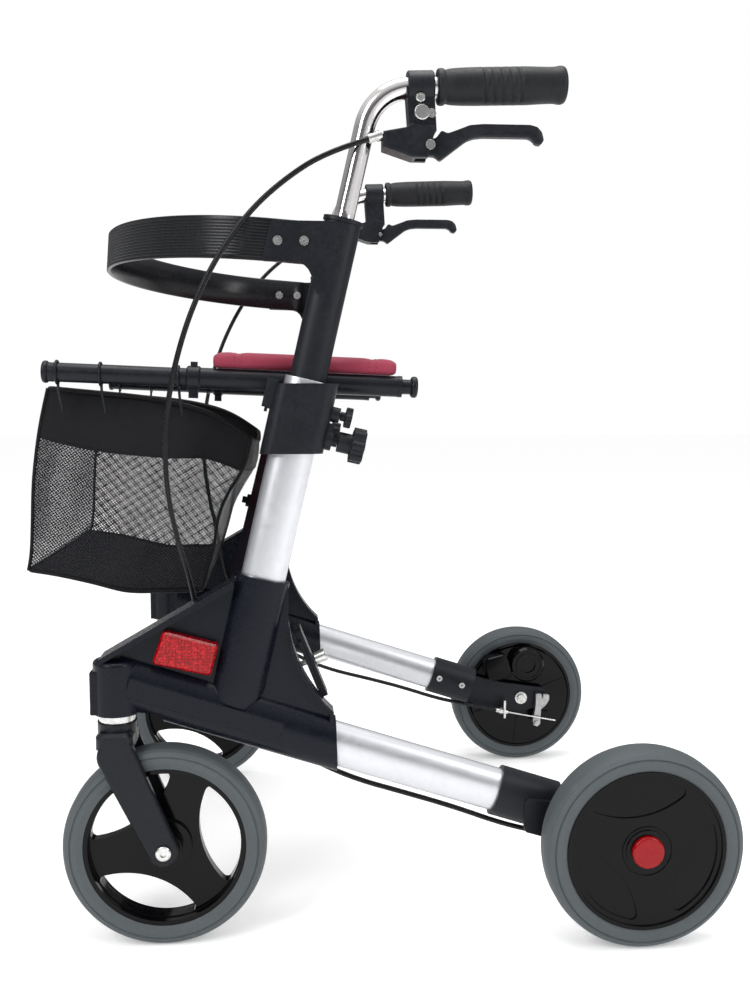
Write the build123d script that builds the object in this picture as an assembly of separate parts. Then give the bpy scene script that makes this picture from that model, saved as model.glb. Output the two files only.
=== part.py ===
from build123d import *
import os
from math import asin, atan, atan2, cos, degrees, hypot, radians, sin, tan

# A folding four-wheeled walking frame with a seat, basket, backrest strap and hand brakes.
# Millimetres. +X is the walker's left, -Y is forward and +Z is up. The origin is on the
# floor, in the middle of the walker. Lengths called ahead run forward from the rear axle.

# ---- overall sizes
REAR_AXLE_Y = 257.5
WHEELBASE = 470.0
WHEEL_RADIUS = 100.0
RIM_RADIUS = 79.5
SIDE_X = 235.0
REAR_WHEEL_X = 282.0
RAIL_X = 200.0
HANDLE_X = 250.0
LEAN = 13.0
BASE_SLOPE = 18.1
POST_AHEAD = 344.0
POST_Z = 484.5
BASE_AHEAD = 255.8
BASE_Z = 181.9

# ---- clearances
RUNNING = 0.05
CLEAR = 0.3
GAP = 0.5

# ---- tubes
TUBE_DEPTH = 44.0
TUBE_WIDTH = 28.0
TUBE_WALL = 2.0
SLEEVE_WALL = 4.5
POST_BOTTOM = -185.0
BASE_FRONT = -130.0
BASE_REAR = 168.0
UPPER_DEPTH = 36.0
UPPER_WIDTH = 23.4
UPPER_WALL = 1.6
UPPER_BOTTOM = -165.0
UPPER_TOP = 233.0

# ---- front wheel and fork
FRONT_TYRE_WIDTH = 34.0
TRAIL = 45.5
AXLE_RADIUS = 5.0
FORK_GAP = 2.5
FORK_LEG = 7.5
CROWN_RADIUS = 19.0
CROWN_TOP = 226.0
CROWN_BOTTOM = 203.0
STEM_RADIUS = 7.0
STEM_TOP = 264.0
HEAD_BOTTOM = 234.0
HEAD_RADIUS = 22.5
HEAD_TOP = 287.0

# ---- rear wheel
REAR_TYRE_WIDTH = 38.0
CAP_RADIUS = 16.0
DRUM_RADIUS = 42.0
BACKING_RADIUS = 74.0

# ---- shell
SHELL_RIM = -122.0
WEB_THICKNESS = 12.0
RIDGE_WIDTH = 38.0

# ---- collar and knobs
COLLAR_LOW = 487.0
COLLAR_HIGH = 554.5
COLLAR_DEPTH = 60.0
COLLAR_WIDTH = 39.0
BIG_KNOB_HEIGHT = 23.8
BIG_KNOB_RADIUS = 17.8
SMALL_KNOB_HEIGHT = 48.6
SMALL_KNOB_RADIUS = 11.0
STUD_RADIUS = 2.9

# ---- folding cross brace, in the leaning plane of the posts
BRACE_LOW = -190.0
BRACE_HIGH = 44.0
BAR_DEPTH = 24.0
BAR_THICKNESS = 12.0
LUG_MIDDLE = -17.5
LUG_THICKNESS = 4.0
PIN_RADIUS = 4.0

# ---- seat, rails and basket
RAIL_FRONT_AHEAD = 580.0
RAIL_FRONT_Z = 566.5
RAIL_SLOPE = 2.3
RAIL_LENGTH = 346.0
RAIL_FRONT_RADIUS = 9.5
RAIL_REAR_RADIUS = 10.5
RAIL_JOINT = 136.0
PAD_THICKNESS = 14.5
PAD_FRONT = 157.0
PAD_REAR = 346.0
PAD_HALF_WIDTH = 211.0
BASKET_HALF_WIDTH = 185.0
BASKET_WALL = 5.0

# ---- handle
HANDLE_RADIUS = 10.0
HANDLE_BEND = 46.0
HANDLE_CORNER_AHEAD = 264.3
HANDLE_CORNER_Z = 829.9
HANDLE_RISE = 2.3
GRIP_START = 60.0
GRIP_END = 184.0
GRIP_RADIUS = 17.0
LEVER_PIVOT_AHEAD = 212.0
LEVER_PIVOT_Z = 776.0
STRAP_THICKNESS = 5.0
STRAP_HEIGHT = 41.0

# ---- brake
CABLE_RADIUS = 2.6
ARM_PIVOT_AHEAD = -30.0
ARM_PIVOT_Z = 99.0
ARM_END_AHEAD = -22.0
ARM_END_Z = 63.0
ARM_X = 240.0

# The near cable, as (x, ahead, z): out of the lever housing, forward in an arc outside the
# seat and basket, in behind the shell, under the base tube and back to the brake.
CABLE_POINTS = [
    (258.5, 269.5, 781.5),
    (259, 309, 769),
    (258.5, 349, 743),
    (258, 382, 713),
    (257, 411, 673),
    (256, 433, 630),
    (254, 448, 588),
    (250, 459, 543),
    (246, 464, 497),
    (240, 463, 449),
    (227, 455, 402),
    (212.5, 444, 358),
    (209.5, 437, 318),
    (209, 427, 279),
    (209, 402, 240),
    (210, 369, 206),
    (215, 330, 176),
    (222, 283, 155),
    (227, 233, 141),
    (231, 180, 125),
    (235, 128, 106),
    (236.5, 82, 95.5),
    (237, 40, 86.0),
]


def ahead(distance):
    return REAR_AXLE_Y - distance


# ---- frames that lean with the pieces
POST = Location((SIDE_X, ahead(POST_AHEAD), POST_Z), (-LEAN, 0, 0))
BRACE = Location((0, ahead(POST_AHEAD), POST_Z), (-LEAN, 0, 0))
BASE = Location((SIDE_X, ahead(BASE_AHEAD), BASE_Z), (-90 - BASE_SLOPE, 0, 0))
RAIL = Location((RAIL_X, ahead(RAIL_FRONT_AHEAD), RAIL_FRONT_Z), (-90 - RAIL_SLOPE, 0, 0))
GRIP = Location((HANDLE_X, ahead(HANDLE_CORNER_AHEAD), HANDLE_CORNER_Z), (-90 + HANDLE_RISE, 0, 0))
STEM_AHEAD = WHEELBASE + TRAIL


def side_plate(points, low, high, rounding=0.0):
    """A flat piece in a side view, from (ahead, z) corners, between two x values."""
    face = make_face(Polyline(*[(ahead(d), z) for d, z in points], close=True))
    if rounding:
        face = fillet(face.vertices(), rounding)
    return Pos(low, 0, 0) * extrude(Plane.YZ * face, high - low)


def across(distance, z, radius, low, high):
    """A round piece whose axis runs from side to side."""
    turned = Location((low, ahead(distance), z), (0, 90, 0))
    return turned * Cylinder(radius, high - low, align=(Align.CENTER, Align.CENTER, Align.MIN))


def upright(x, distance, radius, low, high):
    """A round piece whose axis is vertical."""
    foot = Location((x, ahead(distance), low))
    return foot * Cylinder(radius, high - low, align=(Align.CENTER, Align.CENTER, Align.MIN))


def oval(width, depth, low, high):
    """A solid of oval section along its own z."""
    return Pos(0, 0, low) * extrude(Ellipse(width / 2, depth / 2), high - low)


def oval_tube(width, depth, wall, low, high):
    hole = oval(width - 2 * wall, depth - 2 * wall, low - 1, high + 1)
    return oval(width, depth, low, high) - hole


def rearward(height, radius, low, high):
    """A round piece square to the post, pointing rearward, in the post's frame."""
    turned = Location((0, low, height), (-90, 0, 0))
    return turned * Cylinder(radius, high - low, align=(Align.CENTER, Align.CENTER, Align.MIN))


def turned_ring(profile, distance, x, z):
    """A ring about a side-to-side axis, from (radius, offset) corners."""
    face = make_face(Polyline(*profile, close=True))
    ring = revolve(Plane.XZ * face, Axis.Z)
    return Location((x, ahead(distance), z), (0, 90, 0)) * ring


# ---- wheels -------------------------------------------------------------------------
def tyre(distance, x, width):
    half = width / 2
    bead = RIM_RADIUS
    crown = WHEEL_RADIUS
    side = [
        (bead, 0.86 * half),
        (bead + 6, 0.98 * half),
        (bead + 11, half),
        (bead + 12, 0.94 * half),
        (bead + 13, half),
        (crown - 3.5, 0.86 * half),
        (crown - 1.2, 0.66 * half),
        (crown, 0.34 * half),
    ]
    other = [(r, -o) for r, o in reversed(side)]
    return turned_ring(side + other, distance, x, WHEEL_RADIUS)


def wheel_frame(distance, x):
    return Location((x, ahead(distance), WHEEL_RADIUS), (0, 90, 0))


def wheel_opening(reach):
    """The outline of one space between two spokes, on the wheel's local x axis."""
    curve = 87.0
    lens = Circle(reach) & (Pos(35.0 + curve, 0) * Circle(curve))
    return fillet(lens.vertices(), 5.0)


def front_wheel_centre():
    half = 0.42 * FRONT_TYRE_WIDTH
    rim_inner = RIM_RADIUS - 4.5
    hub_half = FRONT_TYRE_WIDTH / 2 + FORK_GAP - GAP
    rim = Cylinder(RIM_RADIUS, 2 * half) - Cylinder(rim_inner, 2 * half)
    web = Cylinder(rim_inner + 1, 12.0)
    cut = extrude(wheel_opening(rim_inner - 1), 30, both=True)
    for turn in (100, 220, 340):
        web -= Rot(0, 0, turn) * cut
    hub = Cylinder(17.0, 2 * hub_half)
    collar = Cylinder(26.0, 20.0)
    centre = rim + web + collar + hub
    centre -= Cylinder(AXLE_RADIUS + RUNNING, 3 * hub_half)
    return wheel_frame(WHEELBASE, SIDE_X) * centre


def rear_wheel_centre():
    half = REAR_TYRE_WIDTH / 2
    rim_inner = RIM_RADIUS - 3.5
    rim = Cylinder(RIM_RADIUS, 2 * half - 3) - Cylinder(rim_inner, 2 * half)
    face_low = half - 10
    face_high = half - 3.5
    disc = Pos(0, 0, face_low) * Cylinder(
        rim_inner + 1, face_high - face_low, align=(Align.CENTER, Align.CENTER, Align.MIN)
    )
    hollow = Pos(0, 0, face_high - 1.8) * extrude(wheel_opening(rim_inner - 5), 5)
    for turn in (69, 189, 309):
        disc -= Rot(0, 0, turn) * hollow
    disc -= Pos(0, 0, face_high) * (Cylinder(25.0, 1.6) - Cylinder(24.0, 2))
    hub_high = half - 2.0
    hub_low = -half + 6.0
    hub = Pos(0, 0, hub_low) * Cylinder(
        21.0, hub_high - hub_low, align=(Align.CENTER, Align.CENTER, Align.MIN)
    )
    hub -= Pos(0, 0, hub_low) * (Cylinder(24.5, 24) - Cylinder(14, 24))
    drum = Cylinder(DRUM_RADIUS, 16) - Cylinder(DRUM_RADIUS - 4, 17)
    drum = Pos(0, 0, face_low - 7.5) * drum
    centre = rim + disc + hub + drum
    centre -= Cylinder(AXLE_RADIUS + RUNNING, 3 * half)
    centre -= Pos(0, 0, hub_high) * Cylinder(11.0, 18.0)
    return wheel_frame(0, REAR_WHEEL_X) * centre


def rear_cap():
    half = REAR_TYRE_WIDTH / 2
    seat = half - 2.0
    dome = Pos(0, 0, seat) * Cylinder(
        CAP_RADIUS, 5.0, align=(Align.CENTER, Align.CENTER, Align.MIN)
    )
    dome = fillet(dome.edges().group_by(Axis.Z)[-1], 2.5)
    plug = Pos(0, 0, seat - 1.5) * Cylinder(
        11.0 - RUNNING, 1.5, align=(Align.CENTER, Align.CENTER, Align.MIN)
    )
    return wheel_frame(0, REAR_WHEEL_X) * (dome + plug)


# ---- fork ---------------------------------------------------------------------------
def fork():
    inner = FRONT_TYRE_WIDTH / 2 + FORK_GAP
    outer = inner + FORK_LEG
    shoulder = Pos(ahead(STEM_AHEAD - 2), 196) * Circle(18.5)
    end = Pos(ahead(WHEELBASE), WHEEL_RADIUS) * Circle(14.5)
    outline = make_face(make_hull((shoulder + end).edges()))
    leg = extrude(Plane.YZ * outline, FORK_LEG)
    leg = chamfer(leg.faces().sort_by(Axis.X)[-1].edges(), 1.8)
    left_leg = Pos(SIDE_X + inner, 0, 0) * leg
    right_leg = mirror(left_leg, about=Plane.YZ.offset(SIDE_X))
    yoke = Box(2 * outer, 2 * CROWN_RADIUS - 2, 16)
    yoke = fillet(yoke.edges().filter_by(Axis.Z), 9)
    yoke = chamfer(yoke.faces().sort_by(Axis.Z)[-1].edges(), 4)
    yoke = Pos(SIDE_X, ahead(STEM_AHEAD), CROWN_BOTTOM + 8) * yoke
    crown = upright(SIDE_X, STEM_AHEAD, CROWN_RADIUS, CROWN_BOTTOM + 4, CROWN_TOP)
    stem = upright(SIDE_X, STEM_AHEAD, STEM_RADIUS, CROWN_TOP - 5, STEM_TOP)
    body = left_leg + right_leg + yoke + crown + stem
    body -= across(WHEELBASE, WHEEL_RADIUS, AXLE_RADIUS, SIDE_X - outer - 1, SIDE_X + outer + 1)
    return body


def front_axle():
    outer = FRONT_TYRE_WIDTH / 2 + FORK_GAP + FORK_LEG
    shaft = across(WHEELBASE, WHEEL_RADIUS, AXLE_RADIUS, SIDE_X - outer - 5, SIDE_X + outer)
    head = across(WHEELBASE, WHEEL_RADIUS, 7.5, SIDE_X + outer, SIDE_X + outer + 3.5)
    head = chamfer(head.faces().sort_by(Axis.X)[-1].edges(), 1)
    head -= across(WHEELBASE, WHEEL_RADIUS, 3.2, SIDE_X + outer + 1.5, SIDE_X + outer + 4)
    nut = extrude(RegularPolygon(8.0, 6), 5)
    nut = Location((SIDE_X - outer - 5, ahead(WHEELBASE), WHEEL_RADIUS), (0, 90, 0)) * nut
    return shaft + head + nut


# ---- main frame ---------------------------------------------------------------------
def base_tube():
    return BASE * oval_tube(TUBE_WIDTH, TUBE_DEPTH, TUBE_WALL, BASE_FRONT, BASE_REAR)


def post_tube():
    low = POST_BOTTOM
    high = (COLLAR_HIGH - POST_Z) / cos(radians(LEAN)) + 4
    tube = oval_tube(TUBE_WIDTH, TUBE_DEPTH, TUBE_WALL, low, high)
    depth = TUBE_DEPTH / 2
    for height in (BIG_KNOB_HEIGHT, SMALL_KNOB_HEIGHT):
        tube -= rearward(height, STUD_RADIUS + CLEAR, depth - 6, depth + 4)
    return POST * tube


WEB_OUTLINE = [(529, 289), (399, 364), (347, 359), (347, 322)]
GUSSET_MIDDLE = (334, 274)
GUSSET_END = (303, 231)


def shell_web(width):
    """The flat web between the sleeves, with its hollowed rear edge."""
    corners = [(ahead(d), z) for d, z in WEB_OUTLINE]
    middle = (ahead(GUSSET_MIDDLE[0]), GUSSET_MIDDLE[1])
    end = (ahead(GUSSET_END[0]), GUSSET_END[1])
    low = (ahead(303), 190)
    front_low = (ahead(500), 250)
    front = (ahead(531), 250)
    edges = Polyline(*corners) + ThreePointArc(corners[-1], middle, end)
    edges += Polyline(end, low, front_low, front, corners[0])
    web = extrude(Plane.YZ * make_face(edges), width / 2, both=True)
    return Pos(SIDE_X, 0, 0) * web


def front_shell():
    sleeve_width = TUBE_WIDTH + 2 * SLEEVE_WALL
    sleeve_depth = TUBE_DEPTH + 2 * SLEEVE_WALL
    web = shell_web(WEB_THICKNESS)
    wide_web = shell_web(0.65 * sleeve_width)
    rib = wide_web - Pos(0, -4, -1) * shell_web(sleeve_width)
    rear_half = side_plate([(346, 358), (290, 358), (290, 190), (346, 190)], 0, 400)
    ridge_top = [(530, 290), (532, 283), (400, 357), (399, 365)]
    ridge = side_plate(ridge_top, SIDE_X - RIDGE_WIDTH / 2, SIDE_X + RIDGE_WIDTH / 2)
    ridge = fillet(ridge.edges().filter_by(Axis.X), 1.2)
    post_sleeve = POST * oval(sleeve_width + 2, sleeve_depth, -262, SHELL_RIM)
    point = [(450, 400), (330, 400), (335, 330), (371, 252), (391, 238), (414, 246), (450, 330)]
    post_sleeve &= side_plate(point, 0, 400)
    base_sleeve = BASE * oval(sleeve_width, sleeve_depth, -275, -20)
    base_sleeve &= side_plate([(540, 320), (303, 320), (299, 130), (540, 130)], 0, 400)
    head = upright(SIDE_X, STEM_AHEAD, HEAD_RADIUS, HEAD_BOTTOM, HEAD_TOP)
    head = fillet(head.edges().group_by(Axis.Z)[-1], 4)
    below = side_plate([(560, 235), (470, 235), (470, 150), (560, 150)], 0, 400)
    block = Box(30, 12, 41)
    block = fillet(block.edges().filter_by(Axis.Z), 3)
    block = Pos(SIDE_X, ahead(STEM_AHEAD + 18), 255.5) * block
    body = web + (rib & rear_half) + ridge + post_sleeve + (base_sleeve - below) + head + block
    label_low = -260
    label_high = -104
    label = Pos(sleeve_width / 2 - 1.2, 0, label_low) * Box(
        4, 19, label_high - label_low, align=(Align.CENTER, Align.CENTER, Align.MIN)
    )
    body += BASE * fillet(label.edges().filter_by(Axis.X), 3)
    lug = Pos(0, LUG_MIDDLE, BRACE_LOW) * Box(BAR_DEPTH, LUG_THICKNESS, BAR_DEPTH)
    lug += Pos(20, LUG_MIDDLE, BRACE_LOW) * Box(40, LUG_THICKNESS, BAR_DEPTH)
    lug = BRACE * (Pos(RAIL_X, 0, 0) * lug)
    body += lug
    body -= POST * oval(TUBE_WIDTH, TUBE_DEPTH, POST_BOTTOM, 0)
    body -= BASE * oval(TUBE_WIDTH, TUBE_DEPTH, BASE_FRONT, 0)
    body -= upright(SIDE_X, STEM_AHEAD, STEM_RADIUS + RUNNING, HEAD_BOTTOM - 10, STEM_TOP + 1)
    body -= brace_pin_hole(RAIL_X, BRACE_LOW, PIN_RADIUS)
    return body


def brace_pin_hole(x, height, radius):
    turned = Location((x, -60, height), (-90, 0, 0))
    hole = Cylinder(radius, 80, align=(Align.CENTER, Align.CENTER, Align.MIN))
    return BRACE * (turned * hole)


def collar():
    half_pin = UPPER_DEPTH / 2
    block = extrude(RectangleRounded(COLLAR_WIDTH, COLLAR_DEPTH, 13), 120)
    block = POST * (Pos(0, 0, -20) * block)
    slab = side_plate(
        [(420, COLLAR_HIGH), (250, COLLAR_HIGH), (250, COLLAR_LOW), (420, COLLAR_LOW)], 0, 400
    )
    block &= slab
    front = Pos(0, -COLLAR_DEPTH / 2 - 2.5, 55) * Box(24, 11, 28)
    front = fillet(front.edges().filter_by(Axis.Z), 2)
    upper_boss = rearward(SMALL_KNOB_HEIGHT, 7.5, half_pin + 8, 38.0)
    lower_boss = rearward(BIG_KNOB_HEIGHT, 10.5, half_pin + 8, 36.0)
    lower_boss += Pos(0, 30.5, BIG_KNOB_HEIGHT + 9) * Box(15, 9, 14)
    body = block + POST * (front + upper_boss + lower_boss)
    body -= POST * oval(TUBE_WIDTH, TUBE_DEPTH, -40, 120)
    for height in (BIG_KNOB_HEIGHT, SMALL_KNOB_HEIGHT):
        body -= POST * rearward(height, STUD_RADIUS + RUNNING, 10, 60)
    return body


def star_knob(height, radius, lobes, hub_low, hub_high, disc_high, hub_radius):
    stud = rearward(height, STUD_RADIUS, UPPER_DEPTH / 2 + GAP, hub_low + 1)
    hub = rearward(height, hub_radius, hub_low, hub_high)
    disc = rearward(height, 0.84 * radius, hub_high - 0.5, disc_high)
    disc = chamfer(disc.faces().sort_by(Axis.Y)[-1].edges(), 0.8)
    lobe_radius = 0.29 * radius
    body = stud + hub + disc
    for index in range(lobes):
        turn = 2 * 180 * index / lobes
        reach = radius - lobe_radius
        offset = (reach * cos(radians(turn)), reach * sin(radians(turn)))
        lobe = rearward(height, lobe_radius, hub_high, disc_high)
        lobe = chamfer(lobe.faces().sort_by(Axis.Y)[-1].edges(), 0.8)
        body += Pos(offset[0], 0, offset[1]) * lobe
    return POST * body


def height_knob():
    return star_knob(BIG_KNOB_HEIGHT, BIG_KNOB_RADIUS, 7, 42.0, 55.5, 68.0, 10.0)


def small_knob():
    return star_knob(SMALL_KNOB_HEIGHT, SMALL_KNOB_RADIUS, 6, 38.8, 44.0, 50.0, 4.5)


def rear_bracket():
    sleeve_width = TUBE_WIDTH + 2 * (SLEEVE_WALL - 0.5)
    sleeve_depth = TUBE_DEPTH + 2 * (SLEEVE_WALL - 0.5)
    sleeve = BASE * oval(sleeve_width, sleeve_depth, 124, 186)
    arm = [
        (112, 140),
        (70, 134),
        (30, 124),
        (-34, 114),
        (-42, 100),
        (-36, 88),
        (-5, 80),
        (40, 84),
        (112, 106),
    ]
    plate = side_plate(arm, 250, 256, 4)
    boss = across(0, WHEEL_RADIUS, 12, 255, REAR_WHEEL_X - REAR_TYRE_WIDTH / 2 + 4.5)
    body = sleeve + plate + boss
    body -= BASE * oval(TUBE_WIDTH, TUBE_DEPTH, 100, BASE_REAR)
    body -= across(0, WHEEL_RADIUS, AXLE_RADIUS, 200, 300)
    body -= across(ARM_PIVOT_AHEAD, ARM_PIVOT_Z, 4 + RUNNING, 200, 300)
    for place in RIVETS:
        body -= across(place[0], place[1], 2.5, SIDE_X - 30, SIDE_X - 10)
    return body


RIVETS = [(128, 141), (95, 130)]


def brake_unit():
    plate_low = REAR_WHEEL_X - REAR_TYRE_WIDTH / 2 - 1
    plate_high = plate_low + 3
    plate = across(0, WHEEL_RADIUS, BACKING_RADIUS, plate_low, plate_high)
    for turn in (20, 85, 140, 200, 265, 320):
        rib = Box(2.5, BACKING_RADIUS - 36, 2.5)
        rib = Rot(turn, 0, 0) * (Pos(0, (BACKING_RADIUS + 30) / 2, 0) * rib)
        plate += Pos(plate_low - 0.5, ahead(0), WHEEL_RADIUS) * rib
    plate -= across(0, WHEEL_RADIUS, 12, 200, 300)
    plate -= across(ARM_PIVOT_AHEAD, ARM_PIVOT_Z, 6, 200, 300)
    block = Box(24, 36, 36)
    block = fillet(block.edges().filter_by(Axis.X), 9)
    block = chamfer(block.faces().sort_by(Axis.X)[0].edges(), 1.5)
    block = Location((plate_low - 11.8, ahead(37), 138 + 10), (14, 0, 0)) * block
    damper = block
    dial_low = plate_low - 16
    dial = across(-9, 150, 26, dial_low, plate_low + 0.5)
    dial = chamfer(dial.faces().sort_by(Axis.X)[0].edges(), 3)
    dial -= across(-9, 150, 20, dial_low - 1, dial_low + 1.2) - across(-9, 150, 17, 200, 300)
    dial -= across(-9, 150, 12, dial_low - 1, dial_low + 3)
    shoe_low = plate_high + 1
    shoe_high = shoe_low + 12
    shoes = across(0, WHEEL_RADIUS, DRUM_RADIUS - 4.6, shoe_low, shoe_high)
    shoes -= across(0, WHEEL_RADIUS, DRUM_RADIUS - 11, 200, 300)
    shoes -= Pos((shoe_low + shoe_high) / 2, ahead(0), WHEEL_RADIUS) * Box(40, 9, 120)
    post = across(20, WHEEL_RADIUS + 22, 3, plate_high - 1, shoe_high)
    post += across(-20, WHEEL_RADIUS + 22, 3, plate_high - 1, shoe_high)
    return [plate + damper + dial + post, *(shoes - post).solids()]


def reflector():
    low = SIDE_X + WEB_THICKNESS / 2
    corners = [(479, 285), (468, 317), (415, 302), (423, 272)]
    lens = side_plate(corners, low, low + 13, 3)
    lens = chamfer(lens.faces().sort_by(Axis.X)[-1].edges(), 2)
    return lens


def frame_fasteners():
    pieces = []
    inner_face = SIDE_X - TUBE_WIDTH / 2 - SLEEVE_WALL
    for distance, z in RIVETS:
        rivet = across(distance, z, 2.5, inner_face - 1, inner_face + 3.8)
        rivet += across(distance, z, 4.2, inner_face - 2.6, inner_face - 0.2)
        rivet -= across(distance, z, 1.6, inner_face - 3, inner_face + 2)
        pieces.append(rivet)
    half = REAR_TYRE_WIDTH / 2
    axle = across(0, WHEEL_RADIUS, AXLE_RADIUS, 247, REAR_WHEEL_X + half - 5)
    axle += across(0, WHEEL_RADIUS, 9, 247, 249.9)
    axle += across(0, WHEEL_RADIUS, 6, 243, 247.2)
    nut = extrude(RegularPolygon(9, 6), 6)
    nut = Location((REAR_WHEEL_X + half - 10.5, ahead(0), WHEEL_RADIUS), (0, 90, 0)) * nut
    pieces.append(axle + nut)
    pieces.extend(cable_stop())
    low = CROWN_TOP + GAP
    ring = upright(SIDE_X, STEM_AHEAD, 17.5, low, HEAD_BOTTOM)
    ring -= upright(SIDE_X, STEM_AHEAD, STEM_RADIUS + 1, low - 1, HEAD_BOTTOM + 1)
    pieces.append(ring)
    pieces.append(brace_pin(RAIL_X, BRACE_LOW))
    return pieces


def brace_pin(x, height):
    """A headed pin through a brace lug, long enough for a bar on either side of it."""
    half = BAR_THICKNESS + LUG_THICKNESS / 2 + GAP
    low = LUG_MIDDLE - half - GAP
    turned = Location((x, low - 3, height), (-90, 0, 0))
    shaft = Cylinder(PIN_RADIUS, 2 * half + 2 * GAP + 6, align=(Align.CENTER, Align.CENTER, Align.MIN))
    head = Cylinder(7.5, 3, align=(Align.CENTER, Align.CENTER, Align.MIN))
    far = Pos(0, 0, 2 * half + 2 * GAP + 3) * head
    return BRACE * (turned * (shaft + head + far))


def cable_line():
    """Where the cable meets its adjuster, and its direction there."""
    x, distance, z = CABLE_POINTS[-1]
    before = CABLE_POINTS[-2]
    start = Vector(x, ahead(distance), z)
    direction = start - Vector(before[0], ahead(before[1]), before[2])
    return start, direction.normalized()


def cable_stop():
    """The cable adjuster on its tab, and the inner wire that runs on to the brake arm."""
    start, direction = cable_line()
    plane = Plane(origin=start, z_dir=direction)
    barrel = plane * Cylinder(3.4, 9, align=(Align.CENTER, Align.CENTER, Align.MIN))
    hexagon = plane * (Pos(0, 0, 5) * extrude(RegularPolygon(5.2, 6), 5))
    barrel += hexagon
    barrel += plane * (Pos(0, 0, 9) * Cylinder(3, 9, align=(Align.CENTER, Align.CENTER, Align.MIN)))
    wire_start = start + direction * 18
    wire_end = Vector(wire_start.X, ahead(-50), wire_start.Z - (ahead(-50) - wire_start.Y) * 0.2)
    wire_plane = Plane(origin=wire_start, z_dir=wire_end - wire_start)
    length = (wire_end - wire_start).length
    wire = wire_plane * Cylinder(1.1, length, align=(Align.CENTER, Align.CENTER, Align.MIN))
    tab = Box(17, 3, 26)
    tab_place = start + direction * 13
    tab = Location((250 - 8.5, tab_place.Y, tab_place.Z + 4)) * tab
    tab -= plane * Cylinder(3, 40)
    return [barrel + wire, tab]


def brake_cable():
    points = [Vector(x, ahead(d), z) for x, d, z in CABLE_POINTS]
    radii = []
    for before, at, after in zip(points, points[1:], points[2:]):
        turn = radians((at - before).get_angle(after - at))
        shorter = min((at - before).length, (after - at).length)
        radii.append(0.45 * shorter / tan(turn / 2))
    path = FilletPolyline(*points, radius=radii)
    section = Plane(origin=path @ 0, z_dir=path % 0) * Circle(CABLE_RADIUS)
    tube = sweep(section, path=path)
    print("cable radii", [round(r) for r in radii])
    print("cable length", round(path.length), "volume ratio", tube.volume / (section.area * path.length))
    return tube


# ---- handle -------------------------------------------------------------------------
def upper_post():
    tube = oval_tube(UPPER_WIDTH, UPPER_DEPTH, UPPER_WALL, UPPER_BOTTOM, UPPER_TOP)
    lip = oval(UPPER_WIDTH + 3, UPPER_DEPTH + 3, UPPER_TOP - 4, UPPER_TOP)
    lip -= Pos(0, 0, UPPER_TOP - 6) * Cylinder(
        HANDLE_RADIUS + RUNNING, 9, align=(Align.CENTER, Align.CENTER, Align.MIN)
    )
    post = POST * (tube + lip)
    for step in range(6):
        height = SMALL_KNOB_HEIGHT - 25 * step
        post -= POST * rearward(height, STUD_RADIUS + 0.6, UPPER_DEPTH / 2 - 6, UPPER_DEPTH)
    outer = SIDE_X + UPPER_WIDTH / 2
    corners = [(361, 708), (370, 670), (336, 669), (330, 667), (326, 663), (322, 655), (318, 640)]
    corners += [(305, 640), (294, 708)]
    plate = side_plate(corners, outer - 4, outer, 2)
    plate -= POST * oval(UPPER_WIDTH - 2, UPPER_DEPTH - 2, 100, 300)
    post += plate
    for distance in STRAP_BOLTS:
        post -= across(distance, STRAP_Z, 2.7, 200, 300)
    return post


STRAP_BOLTS = (355, 330)
STRAP_Z = 689.0


def handle_path():
    up = Vector(0, sin(radians(LEAN)), cos(radians(LEAN)))
    base = Vector(SIDE_X, ahead(POST_AHEAD), POST_Z)
    low = base + up * (UPPER_TOP - 62)
    straight_end = base + up * (UPPER_TOP + 4)
    corner = Vector(HANDLE_X, ahead(HANDLE_CORNER_AHEAD), HANDLE_CORNER_Z)
    along = Vector(0, cos(radians(HANDLE_RISE)), sin(radians(HANDLE_RISE)))
    end = corner + along * (GRIP_END - 4)
    return FilletPolyline(low, straight_end, corner, end, radius=[60, HANDLE_BEND])


def handle_rod(radius):
    path = handle_path()
    return sweep(Plane(origin=path @ 0, z_dir=path % 0) * Circle(radius), path=path)


def handlebar():
    path = handle_path()
    ring = Circle(HANDLE_RADIUS) - Circle(HANDLE_RADIUS - 1.5)
    return sweep(Plane(origin=path @ 0, z_dir=path % 0) * ring, path=path)


def grip():
    r = GRIP_RADIUS
    profile = [
        (HANDLE_RADIUS, GRIP_START),
        (r - 1.6, GRIP_START),
        (r - 0.6, GRIP_START + 1.5),
        (r - 0.6, GRIP_START + 6),
        (r - 1.6, GRIP_START + 7),
        (r - 1.6, GRIP_START + 8.5),
        (r - 0.4, GRIP_START + 10),
        (r + 0.6, GRIP_START + 34),
        (r + 0.4, GRIP_START + 62),
        (r - 1.2, GRIP_END - 24),
        (r - 0.6, GRIP_END - 8),
        (r + 0.4, GRIP_END - 3),
        (r - 1, GRIP_END),
        (0, GRIP_END),
        (0, GRIP_END - 4),
        (HANDLE_RADIUS, GRIP_END - 4),
    ]
    face = make_face(Polyline(*profile, close=True))
    return GRIP * revolve(Plane.XZ * face, Axis.Z)


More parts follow.
